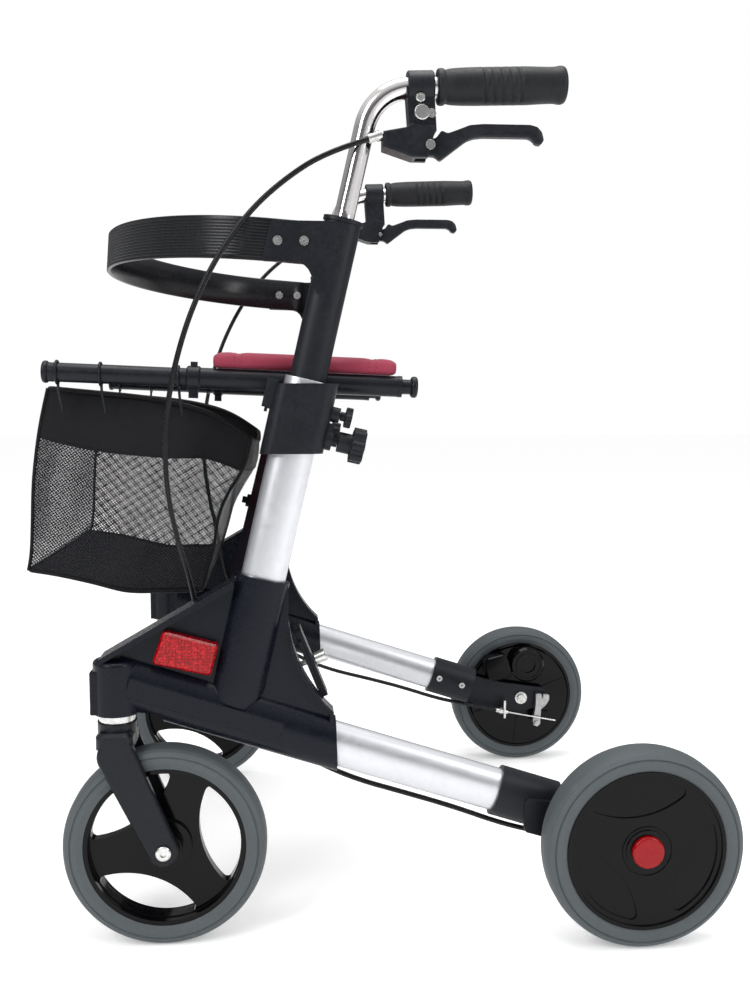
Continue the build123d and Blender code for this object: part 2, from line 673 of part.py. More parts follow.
def lever_housing():
    clamp_low = 32.0
    clamp_high = 57.0
    ring = Pos(0, 0, clamp_low) * Cylinder(
        15.5, clamp_high - clamp_low, align=(Align.CENTER, Align.CENTER, Align.MIN)
    )
    ring = GRIP * chamfer(ring.edges().filter_by(GeomType.CIRCLE), 1.2)
    low = HANDLE_X - 10
    high = HANDLE_X + 14.5
    neck = side_plate([(234, 830), (208, 830), (205.5, 790), (231, 790)], low + 1, HANDLE_X + 11)
    wedge = [(256, 788), (235, 792), (229, 796), (206, 794), (214, 765), (228, 765), (256, 774)]
    body = chamfer(side_plate(wedge, low, high).faces().sort_by(Axis.X)[-1].edges(), 1.2)
    housing = ring + neck + body
    slot = side_plate([(225, 789), (190, 789), (190, 750), (225, 750)], LEVER_LOW - GAP, LEVER_HIGH + GAP)
    housing -= slot
    housing -= handle_rod(HANDLE_RADIUS + RUNNING)
    housing -= across(221, 820, 4.8, HANDLE_X + 11, 300)
    housing -= ferrule_place() * Cylinder(5.0, 32)
    housing -= across(LEVER_PIVOT_AHEAD, LEVER_PIVOT_Z, 2.5, 200, 300)
    return housing


LEVER_LOW = HANDLE_X - 4.5
LEVER_HIGH = HANDLE_X + 6.5


def brake_lever():
    outline = [
        (219, 782),
        (205, 785),
        (200, 792),
        (194, 789),
        (173, 798.5),
        (115, 799),
        (105, 794),
        (101, 783),
        (105, 780),
        (110, 782),
        (116, 787),
        (166, 786),
        (176, 783),
        (184, 777),
        (201, 764),
        (206, 768),
        (219, 769),
    ]
    lever = side_plate(outline, LEVER_LOW, LEVER_HIGH)
    lever = chamfer(lever.faces().sort_by(Axis.X)[-1].edges(), 1.2)
    lever -= across(LEVER_PIVOT_AHEAD, LEVER_PIVOT_Z, 2.5 + RUNNING, 200, 300)
    return lever


def ferrule_place():
    start = Vector(CABLE_POINTS[0][0], ahead(CABLE_POINTS[0][1]), CABLE_POINTS[0][2])
    onward = Vector(CABLE_POINTS[1][0], ahead(CABLE_POINTS[1][1]), CABLE_POINTS[1][2])
    return Plane(origin=start, z_dir=start - onward)


def handle_fasteners():
    face = HANDLE_X + 11
    screw = across(221, 820, 4.6, face, face + 2.5)
    screw = chamfer(screw.faces().sort_by(Axis.X)[-1].edges(), 1)
    screw -= across(221, 820, 2, face + 1, face + 4)
    second = across(210.5, 805.5, 4.2, face, face + 2)
    second -= across(210.5, 805.5, 1.8, face + 1, face + 4)
    button = across(220, 805.5, 7.2, face, face + 6)
    button = chamfer(button.faces().sort_by(Axis.X)[-1].edges(), 0.8)
    pin = across(LEVER_PIVOT_AHEAD, LEVER_PIVOT_Z, 2.5, HANDLE_X - 11, HANDLE_X + 16)
    pin += across(LEVER_PIVOT_AHEAD, LEVER_PIVOT_Z, 4.5, HANDLE_X + 14.5, HANDLE_X + 17)
    plane = ferrule_place()
    ferrule = plane * Cylinder(4.2, 9, align=(Align.CENTER, Align.CENTER, Align.MIN))
    ferrule += plane * Pos(0, 0, 8) * Cylinder(4.9, 5, align=(Align.CENTER, Align.CENTER, Align.MIN))
    pieces = [screw, second - button, button, pin, ferrule]
    outer = SIDE_X + UPPER_WIDTH / 2
    strap_inner = outer - 4 - CLEAR - STRAP_THICKNESS
    for distance in STRAP_BOLTS:
        bolt = across(distance, STRAP_Z, 2.7, strap_inner - 2, outer + 1)
        bolt += across(distance, STRAP_Z, 4.4, outer, outer + 1.8)
        bolt += across(distance, STRAP_Z, 5, strap_inner - 2.2, strap_inner - CLEAR)
        bolt -= across(distance, STRAP_Z, 1.8, outer + 0.8, outer + 3)
        pieces.append(bolt)
    return pieces


# ---- brake arm ----------------------------------------------------------------------
def brake_arm():
    low = ARM_X
    high = ARM_X + 8
    outline = [
        (-21, 108),
        (-41, 106),
        (-41, 98),
        (-36, 90),
        (-29, 84),
        (-28, 62),
        (-24, 58),
        (-18, 60),
        (-17, 66),
        (-20, 84),
        (-21, 92),
    ]
    arm = side_plate(outline, low, high, 2)
    arm -= side_plate([(-29.5, 110), (-32, 110), (-32, 101), (-29.5, 101)], low - 1, high + 1)
    shaft = across(ARM_PIVOT_AHEAD, ARM_PIVOT_Z, 4, low + 3, REAR_WHEEL_X - 16.5)
    screw = across(ARM_END_AHEAD, ARM_END_Z, 3.8, low - 3, low + 1)
    return arm + shaft + screw


# ---- folding brace ------------------------------------------------------------------
def brace_bar(side):
    """A bar from the bottom pivot on one side to the rail lug on the other."""
    rise = BRACE_HIGH - BRACE_LOW
    span = 2 * RAIL_X
    length = hypot(rise, span)
    slope = degrees(atan2(rise, -side * span))
    bar = extrude(SlotCenterToCenter(length, BAR_DEPTH), BAR_THICKNESS)
    for place in (-length / 2, length / 2):
        bar -= Pos(place, 0, 0) * Cylinder(PIN_RADIUS + RUNNING, 3 * BAR_THICKNESS)
    groove = Pos(0, 0, BAR_THICKNESS) * extrude(SlotCenterToCenter(length - 80, 10), -2)
    bar -= groove
    if side > 0:
        pin = Pos(0, 0, -GAP - LUG_THICKNESS - BAR_THICKNESS - GAP - 4) * Cylinder(
            PIN_RADIUS, 40 + LUG_THICKNESS / 2, align=(Align.CENTER, Align.CENTER, Align.MIN)
        )
        head = Pos(0, 0, BAR_THICKNESS) * Cylinder(
            7.5, 4, align=(Align.CENTER, Align.CENTER, Align.MIN)
        )
        middle = bar + pin + head
        front = LUG_MIDDLE - LUG_THICKNESS / 2 - GAP
        place = Location((0, front, (BRACE_LOW + BRACE_HIGH) / 2), (90, 0, 0))
        return BRACE * (place * (Rot(0, 0, slope) * middle))
    bar -= Cylinder(PIN_RADIUS + RUNNING, 3 * BAR_THICKNESS)
    rear = LUG_MIDDLE + LUG_THICKNESS / 2 + GAP + BAR_THICKNESS
    place = Location((0, rear, (BRACE_LOW + BRACE_HIGH) / 2), (90, 0, 0))
    return BRACE * (place * (Rot(0, 0, slope) * bar))


# ---- seat rail ----------------------------------------------------------------------
def along_rail(radius, low, high):
    return Pos(0, 0, low) * Cylinder(
        radius, high - low, align=(Align.CENTER, Align.CENTER, Align.MIN)
    )


def seat_rail():
    front = along_rail(RAIL_FRONT_RADIUS, 0, RAIL_JOINT + 20)
    rear = along_rail(RAIL_REAR_RADIUS, RAIL_JOINT, RAIL_LENGTH)
    front_cap = along_rail(11, -6, 0)
    front_cap = fillet(front_cap.edges().filter_by(GeomType.CIRCLE), 2.5)
    ring = along_rail(12, RAIL_JOINT - 2, RAIL_JOINT + 12)
    ring = chamfer(ring.edges().filter_by(GeomType.CIRCLE), 1.5)
    knob = Pos(0, -12, RAIL_JOINT + 5) * (Rot(90, 0, 0) * Cylinder(3.5, 8))
    hanger = Pos(0, 14, RAIL_JOINT + 5) * Box(9, 12, 9)
    neck = along_rail(7.5, RAIL_LENGTH, RAIL_LENGTH + 12)
    flange = along_rail(10.8, RAIL_LENGTH + 12, RAIL_LENGTH + 19)
    flange = fillet(flange.edges().filter_by(GeomType.CIRCLE), 3)
    collar_end = along_rail(10.8, RAIL_LENGTH - 1, RAIL_LENGTH + 3)
    rail = RAIL * (front + rear + front_cap + ring + knob + hanger + neck + flange + collar_end)
    reach = BRACE_HIGH + 26
    lug_height = reach - BRACE_HIGH + BAR_DEPTH / 2
    lug = Pos(RAIL_X, LUG_MIDDLE, reach - lug_height / 2 + 2) * Box(16, LUG_THICKNESS, lug_height)
    rail += BRACE * lug
    rail -= brace_pin_hole(RAIL_X, BRACE_HIGH, PIN_RADIUS)
    return [rail, brace_pin(RAIL_X, BRACE_HIGH)]


# ---- pieces that are not in pairs -----------------------------------------------------
def seat_pad():
    length = PAD_REAR - PAD_FRONT
    pad = Box(2 * PAD_HALF_WIDTH, PAD_THICKNESS, length)
    pad = fillet(pad.edges().filter_by(Axis.Y), 10)
    pad = fillet(pad.edges().group_by(Axis.Y)[0], 4)
    lift = RAIL_REAR_RADIUS + CLEAR + PAD_THICKNESS / 2
    place = Pos(-RAIL_X, -lift, (PAD_FRONT + PAD_REAR) / 2)
    return RAIL * (place * pad)


def backrest_strap():
    outer = SIDE_X + UPPER_WIDTH / 2 - 4 - CLEAR
    inner = outer - STRAP_THICKNESS
    start = ahead(360)
    reach = 187.0
    band = Ellipse(outer, reach + STRAP_THICKNESS / 2) - Ellipse(inner, reach - STRAP_THICKNESS / 2)
    band &= Pos(0, -300) * Rectangle(900, 600)
    band = Pos(0, start) * band
    for side in (-1, 1):
        middle = side * (outer + inner) / 2
        band += Pos(middle, start + 20) * Rectangle(STRAP_THICKNESS, 40)
    strap = extrude(band, STRAP_HEIGHT / 2, both=True)
    turned = Location((0, ahead(340), STRAP_Z), (-4.2, 0, 0))
    strap = turned * (Pos(0, -ahead(340), 0) * strap)
    for distance in STRAP_BOLTS:
        strap -= across(distance, STRAP_Z, 2.7 + RUNNING, -300, 300)
    return strap


BASKET_OUTLINE = [
    (587, 551),
    (459, 537),
    (384, 498),
    (418, 422),
    (431, 344),
    (500, 341),
    (560, 356),
    (613, 371),
    (606, 420),
    (604, 461),
]
BASKET_INSIDE = [
    (588, 620),
    (380, 620),
    (384, 498),
    (424, 422),
    (437, 350),
    (500, 347),
    (559, 362),
    (607, 377),
    (600, 420),
    (598, 461),
    (581, 551),
]


def basket():
    outer = side_plate(BASKET_OUTLINE, -BASKET_HALF_WIDTH, BASKET_HALF_WIDTH)
    inner_half = BASKET_HALF_WIDTH - BASKET_WALL
    points = [(d, z) for d, z in BASKET_INSIDE]
    points[1] = (392, 620)
    points[2] = (391, 498)
    inner = side_plate(points, -inner_half, inner_half)
    return outer - inner


HOOK_PLACES = (572, 530, 454)


def basket_hooks():
    """Wire hooks from the rails down into the basket's band."""
    wire = 1.4
    hooks = []
    for side in (-1, 1):
        for distance in HOOK_PLACES:
            along = (RAIL_FRONT_AHEAD - distance) / cos(radians(RAIL_SLOPE))
            drop = RAIL_FRONT_Z - along * sin(radians(RAIL_SLOPE))
            radius = RAIL_FRONT_RADIUS + wire + CLEAR
            loop = Rot(90, 0, 0) * Torus(radius, wire)
            loop = Pos(RAIL_X, ahead(distance), drop) * loop
            top = Vector(RAIL_X - 4, ahead(distance), drop - radius - 0.5)
            foot = Vector(BASKET_HALF_WIDTH + wire + CLEAR, ahead(distance + 2), drop - 38)
            stem_plane = Plane(origin=top, z_dir=foot - top)
            stem = stem_plane * Cylinder(
                wire, (foot - top).length, align=(Align.CENTER, Align.CENTER, Align.MIN)
            )
            hook = loop + stem
            hooks.append(hook if side > 0 else mirror(hook, about=Plane.YZ))
    return hooks


LATCH_TOP = (339, 310)
LATCH_FOOT = (311, 240)
LATCH_LOW_X = 196.0
LATCH_HIGH_X = 222.5
LATCH_TURN = 20.0


def latch_frame():
    middle = ((LATCH_TOP[0] + LATCH_FOOT[0]) / 2, (LATCH_TOP[1] + LATCH_FOOT[1]) / 2)
    turn = degrees(atan2(LATCH_TOP[0] - LATCH_FOOT[0], LATCH_TOP[1] - LATCH_FOOT[1]))
    x = (LATCH_LOW_X + LATCH_HIGH_X) / 2
    return Location((x, ahead(middle[0]), middle[1]), (turn - 90, 0, 0))


def latch_plate():
    length = hypot(LATCH_TOP[0] - LATCH_FOOT[0], LATCH_TOP[1] - LATCH_FOOT[1])
    width = LATCH_HIGH_X - LATCH_LOW_X
    plate = Box(width, length, 7)
    plate = fillet(plate.edges().filter_by(Axis.Z), 4)
    plate += Pos(width / 2 + 3, 0, -2) * Box(8, length - 24, 3)
    plate -= Cylinder(3 + RUNNING, 30)
    return latch_frame() * plate


def latch_knob():
    stem = Pos(0, 0, -12) * Cylinder(3, 18, align=(Align.CENTER, Align.CENTER, Align.MIN))
    head = Pos(0, 0, 4) * Cylinder(6.5, 13, align=(Align.CENTER, Align.CENTER, Align.MIN))
    head = chamfer(head.edges().filter_by(GeomType.CIRCLE), 1)
    return latch_frame() * (stem + head)


# ---- write every node -----------------------------------------------------------------
PAIRED = {
    "base_tube": base_tube,
    "post_tube": post_tube,
    "front_shell": front_shell,
    "collar": collar,
    "rear_bracket": rear_bracket,
    "brake_unit": brake_unit,
    "reflector": reflector,
    "frame_fasteners": frame_fasteners,
    "brake_cable": brake_cable,
    "height_knob": height_knob,
    "small_knob": small_knob,
    "rear_tyre": lambda: tyre(0, REAR_WHEEL_X, REAR_TYRE_WIDTH),
    "rear_wheel": rear_wheel_centre,
    "rear_cap": rear_cap,
    "front_tyre": lambda: tyre(WHEELBASE, SIDE_X, FRONT_TYRE_WIDTH),
    "front_wheel": front_wheel_centre,
    "fork": fork,
    "front_axle": front_axle,
    "handlebar": handlebar,
    "upper_post": upper_post,
    "grip": grip,
    "lever_housing": lever_housing,
    "handle_fasteners": handle_fasteners,
    "brake_lever": brake_lever,
    "brake_arm": brake_arm,
    "seat_rail": seat_rail,
}
SINGLE = {
    "brace_bar_a": lambda: brace_bar(1),
    "brace_bar_b": lambda: brace_bar(-1),
    "seat_pad": seat_pad,
    "backrest_strap": backrest_strap,
    "basket": basket,
    "basket_hooks": basket_hooks,
    "latch_plate": latch_plate,
    "latch_knob": latch_knob,
}


def gathered(made):
    """One shape from a solid or from a list of separate solids."""
    pieces = made if isinstance(made, list) else [made]
    solids = []
    for piece in pieces:
        solids.extend(piece.solids())
    return solids[0] if len(solids) == 1 else Compound(children=solids)


def main():
    os.makedirs("parts", exist_ok=True)
    for name, make in PAIRED.items():
        left = gathered(make())
        export_step(left, f"parts/left_{name}.step")
        right = [mirror(solid, about=Plane.YZ) for solid in left.solids()]
        export_step(gathered(right), f"parts/right_{name}.step")
    for name, make in SINGLE.items():
        export_step(gathered(make()), f"parts/{name}.step")


main()
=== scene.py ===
import math

import bmesh
import bpy
from bpy.props import FloatProperty, FloatVectorProperty, IntProperty, PointerProperty
from mathutils import Matrix, Vector
from mathutils.bvhtree import BVHTree


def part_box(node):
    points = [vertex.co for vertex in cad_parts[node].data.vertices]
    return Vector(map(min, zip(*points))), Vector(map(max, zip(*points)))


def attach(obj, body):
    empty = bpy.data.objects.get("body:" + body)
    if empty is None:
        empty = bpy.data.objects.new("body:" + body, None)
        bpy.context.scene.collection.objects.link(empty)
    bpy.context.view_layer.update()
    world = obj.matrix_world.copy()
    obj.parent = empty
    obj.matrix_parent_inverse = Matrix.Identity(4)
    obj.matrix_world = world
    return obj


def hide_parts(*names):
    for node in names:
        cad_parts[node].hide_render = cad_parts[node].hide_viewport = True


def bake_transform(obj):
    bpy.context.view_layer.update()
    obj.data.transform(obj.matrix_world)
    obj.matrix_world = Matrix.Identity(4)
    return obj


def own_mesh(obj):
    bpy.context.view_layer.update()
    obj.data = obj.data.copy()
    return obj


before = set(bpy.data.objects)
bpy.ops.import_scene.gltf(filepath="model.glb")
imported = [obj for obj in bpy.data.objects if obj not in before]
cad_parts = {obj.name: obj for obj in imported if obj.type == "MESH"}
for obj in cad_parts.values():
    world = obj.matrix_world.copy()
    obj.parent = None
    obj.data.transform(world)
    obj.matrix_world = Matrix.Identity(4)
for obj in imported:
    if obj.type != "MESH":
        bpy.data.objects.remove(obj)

bl_info = {
    "name": "Rollator walker",
    "version": (1, 0, 0),
    "blender": (4, 5, 0),
    "location": "3D View > Sidebar > Walker",
    "description": "Builds the looks of a folding four-wheeled walking frame around its CAD parts",
    "category": "Object",
}

SIDES = (("left", 1), ("right", -1))
RAIL_SLOPE = math.radians(2.3)
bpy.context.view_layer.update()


def middle(node):
    """The centre of a CAD node's box."""
    low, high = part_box(node)
    return (low + high) / 2


REAR_AXLE_Y = middle("left_rear_tyre").y


def at(x, ahead, z):
    """A place given by its side, its distance ahead of the rear axle and its height."""
    return Vector((x, REAR_AXLE_Y - ahead, z))


# ---- what a user can change -----------------------------------------------------------
def length(label, words, value):
    return FloatProperty(name=label, description=words, default=value, unit="LENGTH", precision=4)


def tint(label, words, value):
    return FloatVectorProperty(
        name=label, description=words, default=value, subtype="COLOR", size=3, min=0, max=1
    )


class WalkerSizes(bpy.types.PropertyGroup):
    """Sizes of the pieces that are made here."""

    cable_diameter: length("Cable diameter", "Outside diameter of a brake cable", 0.0052)
    seat_crown: length("Seat crown", "How far the seat's padding rises in the middle", 0.004)
    seat_cell: length("Seat cell", "Size of the seat's cloth faces while it is puffed up", 0.0042)
    stitch_length: length("Stitch length", "Length of one stitch of the seat's thread", 0.0034)
    strap_rib_depth: length("Strap rib depth", "Depth of the backrest strap's ribs", 0.0009)
    strap_ribs: IntProperty(
        name="Strap ribs", description="Ribs up the backrest strap", default=12, min=2, max=30
    )
    basket_sag: length("Basket sag", "How far the basket's bottom hangs in its middle", 0.012)


class WalkerColours(bpy.types.PropertyGroup):
    """Colours of the finishes."""

    seat: tint("Seat", "Coated cloth of the seat", (0.335, 0.042, 0.078))
    shell: tint("Shell", "Moulded frame shells", (0.0034, 0.0046, 0.0085))
    black: tint("Black plastic", "Collars, knobs and housings", (0.0055, 0.0068, 0.0095))
    tube: tint("Silver tube", "Anodised base and post tubes", (0.60, 0.61, 0.635))
    tyre: tint("Tyre", "Solid tyres", (0.058, 0.068, 0.072))
    wheel: tint("Wheel", "Gloss wheel centres", (0.0016, 0.0016, 0.002))
    lens: tint("Reflector", "Red reflector lens", (0.30, 0.001, 0.003))
    cap: tint("Hub cap", "Red hub caps", (0.22, 0.001, 0.003))
    cloth: tint("Basket cloth", "Basket net and cloth", (0.0028, 0.003, 0.0045))
    strap: tint("Strap", "Ribbed backrest strap", (0.005, 0.0055, 0.007))
    grip: tint("Grip", "Soft handle grips", (0.0065, 0.0072, 0.0085))


def sizes():
    return bpy.context.scene.walker_sizes


def colours():
    return bpy.context.scene.walker_colours


# ---- node trees -----------------------------------------------------------------------
def node(tree, kind, sockets=None, **settings):
    """Adds a shader node. A socket's value is a constant or another node's output."""
    made = tree.nodes.new(kind)
    for key, value in settings.items():
        setattr(made, key, value)
    for key, value in (sockets or {}).items():
        if isinstance(value, bpy.types.NodeSocket):
            tree.links.new(value, made.inputs[key])
        else:
            made.inputs[key].default_value = value
    return made


def join(tree, target, **outputs):
    """Links outputs into a node's inputs, which are named in the same words."""
    for key, value in outputs.items():
        tree.links.new(value, target.inputs[key.replace("_", " ")])


def constants(surface, **values):
    """Sets plain values on the shader's own sockets."""
    for key, value in values.items():
        surface.inputs[key.replace("_", " ")].default_value = value


def group_tree(name, inputs, outputs):
    """An empty effect with named inputs and outputs."""
    tree = bpy.data.node_groups.new(name, "ShaderNodeTree")
    kinds = {"value": "NodeSocketFloat", "colour": "NodeSocketColor", "vector": "NodeSocketVector"}
    for label, kind, value in inputs:
        socket = tree.interface.new_socket(name=label, in_out="INPUT", socket_type=kinds[kind])
        socket.default_value = value
    for label, kind in outputs:
        tree.interface.new_socket(name=label, in_out="OUTPUT", socket_type=kinds[kind])
    given = tree.nodes.new("NodeGroupInput").outputs
    return tree, given, tree.nodes.new("NodeGroupOutput")


def math_node(tree, operation, first, second=0.0):
    return node(tree, "ShaderNodeMath", {0: first, 1: second}, operation=operation).outputs[0]


def ranged(tree, value, start, end, low=0.0, high=1.0):
    """Stretches a value's range onto another, and keeps it within that."""
    sockets = {"Value": value, "From Min": start, "From Max": end, "To Min": low, "To Max": high}
    return node(tree, "ShaderNodeMapRange", sockets).outputs[0]


def cloud(tree, place, scale, detail, roughness=0.5):
    sockets = {"Vector": place, "Scale": scale, "Detail": detail, "Roughness": roughness}
    return node(tree, "ShaderNodeTexNoise", sockets).outputs["Fac"]


def bumped(tree, strength, distance, height, **normal):
    sockets = {"Strength": strength, "Distance": distance, "Height": height, **normal}
    return node(tree, "ShaderNodeBump", sockets).outputs["Normal"]


def mixed(tree, share, first, second):
    sockets = {0: share, 6: first, 7: second}
    return node(tree, "ShaderNodeMix", sockets, data_type="RGBA").outputs[2]


def object_place(tree):
    return tree.nodes.new("ShaderNodeTexCoord").outputs["Object"]


def mottle_group():
    """Cloudy changes of colour and gloss, with a little settled dust."""
    inputs = [
        ("Colour", "colour", (0.5, 0.5, 0.5, 1)),
        ("Worn colour", "colour", (0.6, 0.6, 0.6, 1)),
        ("Size", "value", 30.0),
        ("Wear", "value", 0.3),
        ("Gloss low", "value", 0.3),
        ("Gloss high", "value", 0.5),
    ]
    tree, given, out = group_tree("mottle", inputs, [("Colour", "colour"), ("Roughness", "value")])
    place = object_place(tree)
    broad = cloud(tree, place, given["Size"], 6.0, 0.62)
    fine = cloud(tree, place, math_node(tree, "MULTIPLY", given["Size"], 9.0), 3.0)
    both = math_node(tree, "MULTIPLY", broad, fine)
    spread = ranged(tree, both, 0.16, 0.42)
    share = math_node(tree, "MULTIPLY", spread, given["Wear"])
    colour = mixed(tree, share, given["Colour"], given["Worn colour"])
    gloss = ranged(tree, spread, 0.0, 1.0, given["Gloss low"], given["Gloss high"])
    join(tree, out, Colour=colour, Roughness=gloss)
    return tree


def grain_group():
    """A moulded or sprayed surface: fine pits over softened edges."""
    inputs = [("Size", "value", 900.0), ("Depth", "value", 0.1), ("Edge", "value", 0.0008)]
    tree, given, out = group_tree("grain", inputs, [("Normal", "vector"), ("Height", "value")])
    place = object_place(tree)
    cells = node(
        tree,
        "ShaderNodeTexVoronoi",
        {"Vector": place, "Scale": given["Size"]},
        feature="SMOOTH_F1",
    ).outputs["Distance"]
    dust = cloud(tree, place, math_node(tree, "MULTIPLY", given["Size"], 1.7), 2.0)
    height = math_node(tree, "ADD", cells, dust)
    rounded = node(tree, "ShaderNodeBevel", {"Radius": given["Edge"]}, samples=4).outputs["Normal"]
    normal = bumped(tree, given["Depth"], 0.0004, height, Normal=rounded)
    join(tree, out, Normal=normal, Height=height)
    return tree


def weave_group():
    """Plain woven threads, over and under, along the piece's own UV map in metres."""
    inputs = [("Threads per metre", "value", 1500.0), ("Depth", "value", 0.4)]
    tree, given, out = group_tree("weave", inputs, [("Normal", "vector"), ("Thread", "value")])
    place = node(tree, "ShaderNodeUVMap", uv_map="cloth").outputs["UV"]
    split = node(tree, "ShaderNodeSeparateXYZ", {"Vector": place})
    turns = math_node(tree, "MULTIPLY", given["Threads per metre"], math.pi)
    waves = []
    for axis in ("X", "Y"):
        angle = math_node(tree, "MULTIPLY", split.outputs[axis], turns)
        waves.append(math_node(tree, "SINE", angle))
    over = math_node(tree, "MULTIPLY", waves[0], waves[1])
    ridges = [math_node(tree, "ABSOLUTE", wave) for wave in waves]
    lifted = math_node(tree, "GREATER_THAN", over, 0.0)
    warp = math_node(tree, "MULTIPLY", ridges[0], lifted)
    under = math_node(tree, "SUBTRACT", 1.0, lifted)
    weft = math_node(tree, "MULTIPLY", ridges[1], under)
    thread = math_node(tree, "ADD", warp, weft)
    join(tree, out, Normal=bumped(tree, given["Depth"], 0.0003, thread), Thread=thread)
    return tree


EFFECTS = {}


def effect(tree, name, sockets):
    """Places one of the shared effects in a material and returns its outputs."""
    makers = {"mottle": mottle_group, "grain": grain_group, "weave": weave_group}
    if name not in EFFECTS:
        EFFECTS[name] = makers[name]()
    return node(tree, "ShaderNodeGroup", sockets, node_tree=EFFECTS[name]).outputs


def rgba(colour, times=1.0):
    return (*[min(1.0, part * times) for part in colour[:3]], 1.0)


def blank(name):
    """A new material with its output, its Principled shader and nothing else."""
    material = bpy.data.materials.new(name)
    material.use_nodes = True
    tree = material.node_tree
    tree.nodes.clear()
    surface = tree.nodes.new("ShaderNodeBsdfPrincipled")
    out = tree.nodes.new("ShaderNodeOutputMaterial")
    tree.links.new(surface.outputs[0], out.inputs["Surface"])
    return material, tree, surface


def mottled(tree, surface, colour, worn, size, wear, gloss):
    """Places the mottle effect, gives the shader its gloss and returns its colour."""
    settings = {"Colour": rgba(colour), "Worn colour": rgba(worn), "Size": size, "Wear": wear}
    settings |= {"Gloss low": gloss[0], "Gloss high": gloss[1]}
    look = effect(tree, "mottle", settings)
    join(tree, surface, Roughness=look["Roughness"])
    return look["Colour"]


def grained(tree, grain, edge):
    """The normal of a grained surface with softened edges."""
    return effect(tree, "grain", {"Size": grain[0], "Depth": grain[1], "Edge": edge})["Normal"]


def moulded(name, colour, worn, wear, gloss, grain, edge, coat=0.0, metal=0.0, shine=0.2):
    """A plastic, rubber or sprayed finish from the mottle and grain effects."""
    material, tree, surface = blank(name)
    shade = mottled(tree, surface, colour, worn, 28.0, wear, gloss)
    join(tree, surface, Base_Color=shade, Normal=grained(tree, grain, edge))
    constants(surface, Metallic=metal, Specular_IOR_Level=shine)
    constants(surface, Coat_Weight=coat, Coat_Roughness=0.08)
    return material


def brushed(name, colour, gloss, stretch, depth):
    """A drawn metal tube with fine streaks along it."""
    material, tree, surface = blank(name)
    lean = node(tree, "ShaderNodeMapping", {"Vector": object_place(tree), "Scale": stretch})
    streaks = cloud(tree, lean.outputs[0], 700.0, 3.0)
    shade = mottled(tree, surface, colour, rgba(colour, 0.86), 18.0, 0.35, gloss)
    pits = grained(tree, (2200.0, 0.03), 0.0006)
    normal = bumped(tree, depth, 0.0002, streaks, Normal=pits)
    join(tree, surface, Base_Color=shade, Normal=normal)
    constants(surface, Metallic=0.86)
    return material


def lens_material():
    """Clear red plastic over a field of small prisms, with painted shade towards each prism's edges
    and cloudy painted glints.
    """
    material, tree, surface = blank("reflector_lens")
    place = object_place(tree)
    cells = node(
        tree,
        "ShaderNodeTexVoronoi",
        {"Vector": place, "Scale": 330.0, "Randomness": 0.0},
        feature="F1",
    ).outputs["Distance"]
    # Painted shade: each prism cell turns darker towards its edge. Painted glints: cloudy patches of
    # brighter red.
    level = ranged(tree, cells, 0.1, 0.75)
    painted_glint = ranged(tree, cloud(tree, place, 420.0, 2.0), 0.45, 0.72)
    base = mixed(tree, level, rgba(colours().lens), rgba(colours().lens, 0.25))
    shade = mixed(tree, painted_glint, base, rgba((0.50, 0.004, 0.010)))
    join(tree, surface, Base_Color=shade, Normal=bumped(tree, 0.3, 0.0006, cells))
    constants(surface, Roughness=0.16, Specular_IOR_Level=0.1)
    constants(surface, Coat_Weight=0.35, Coat_Roughness=0.03)
    return material


def tyre_material():
    """Dark grey solid rubber, a little dusty."""
    material, tree, surface = blank("tyre_rubber")
    tone = colours().tyre
    shade = mottled(tree, surface, tone, rgba(tone, 1.55), 22.0, 0.42, (0.52, 0.78))
    join(tree, surface, Base_Color=shade, Normal=grained(tree, (1300.0, 0.22), 0.001))
    constants(surface, Specular_IOR_Level=0.35)
    return material


def cloth_material(name, colour, threads, depth, gloss, sheen):
    """Woven cloth along the piece's own UV map, with painted shade in the gaps between threads."""
    material, tree, surface = blank(name)
    weave = effect(tree, "weave", {"Threads per metre": threads, "Depth": depth})
    shade = mottled(tree, surface, rgba(colour, 0.86), rgba(colour, 1.22), 16.0, 0.6, gloss)
    # Painted shade: the cloth darkens to 0.55 of its colour in the gaps between threads.
    thread_gap_shade = mixed(tree, weave["Thread"], rgba(colour, 0.55), shade)
    join(tree, surface, Base_Color=thread_gap_shade, Normal=weave["Normal"])
    constants(surface, Specular_IOR_Level=0.18, Sheen_Weight=sheen, Sheen_Roughness=0.45)
    return material


def net_material():
    """Open net: round holes in slanting rows, on the UV map in metres."""
    material, tree, surface = blank("basket_net")
    place = node(tree, "ShaderNodeUVMap", uv_map="cloth").outputs["UV"]
    turned = node(
        tree,
        "ShaderNodeMapping",
        {"Vector": place, "Rotation": (0, 0, math.radians(34)), "Scale": (370, 420, 1)},
    ).outputs[0]
    cells = node(
        tree,
        "ShaderNodeTexVoronoi",
        {"Vector": turned, "Scale": 1.0, "Randomness": 0.12},
        voronoi_dimensions="2D",
        feature="F1",
    ).outputs["Distance"]
    hole = ranged(tree, cloud(tree, place, 70.0, 3.0), 0.0, 1.0, 0.34, 0.43)
    solid = math_node(tree, "GREATER_THAN", cells, hole)
    join(tree, surface, Alpha=solid, Normal=bumped(tree, 0.7, 0.0006, cells))
    constants(surface, Base_Color=rgba(colours().cloth, 2.0), Roughness=0.62)
    constants(surface, Specular_IOR_Level=0.2)
    return material


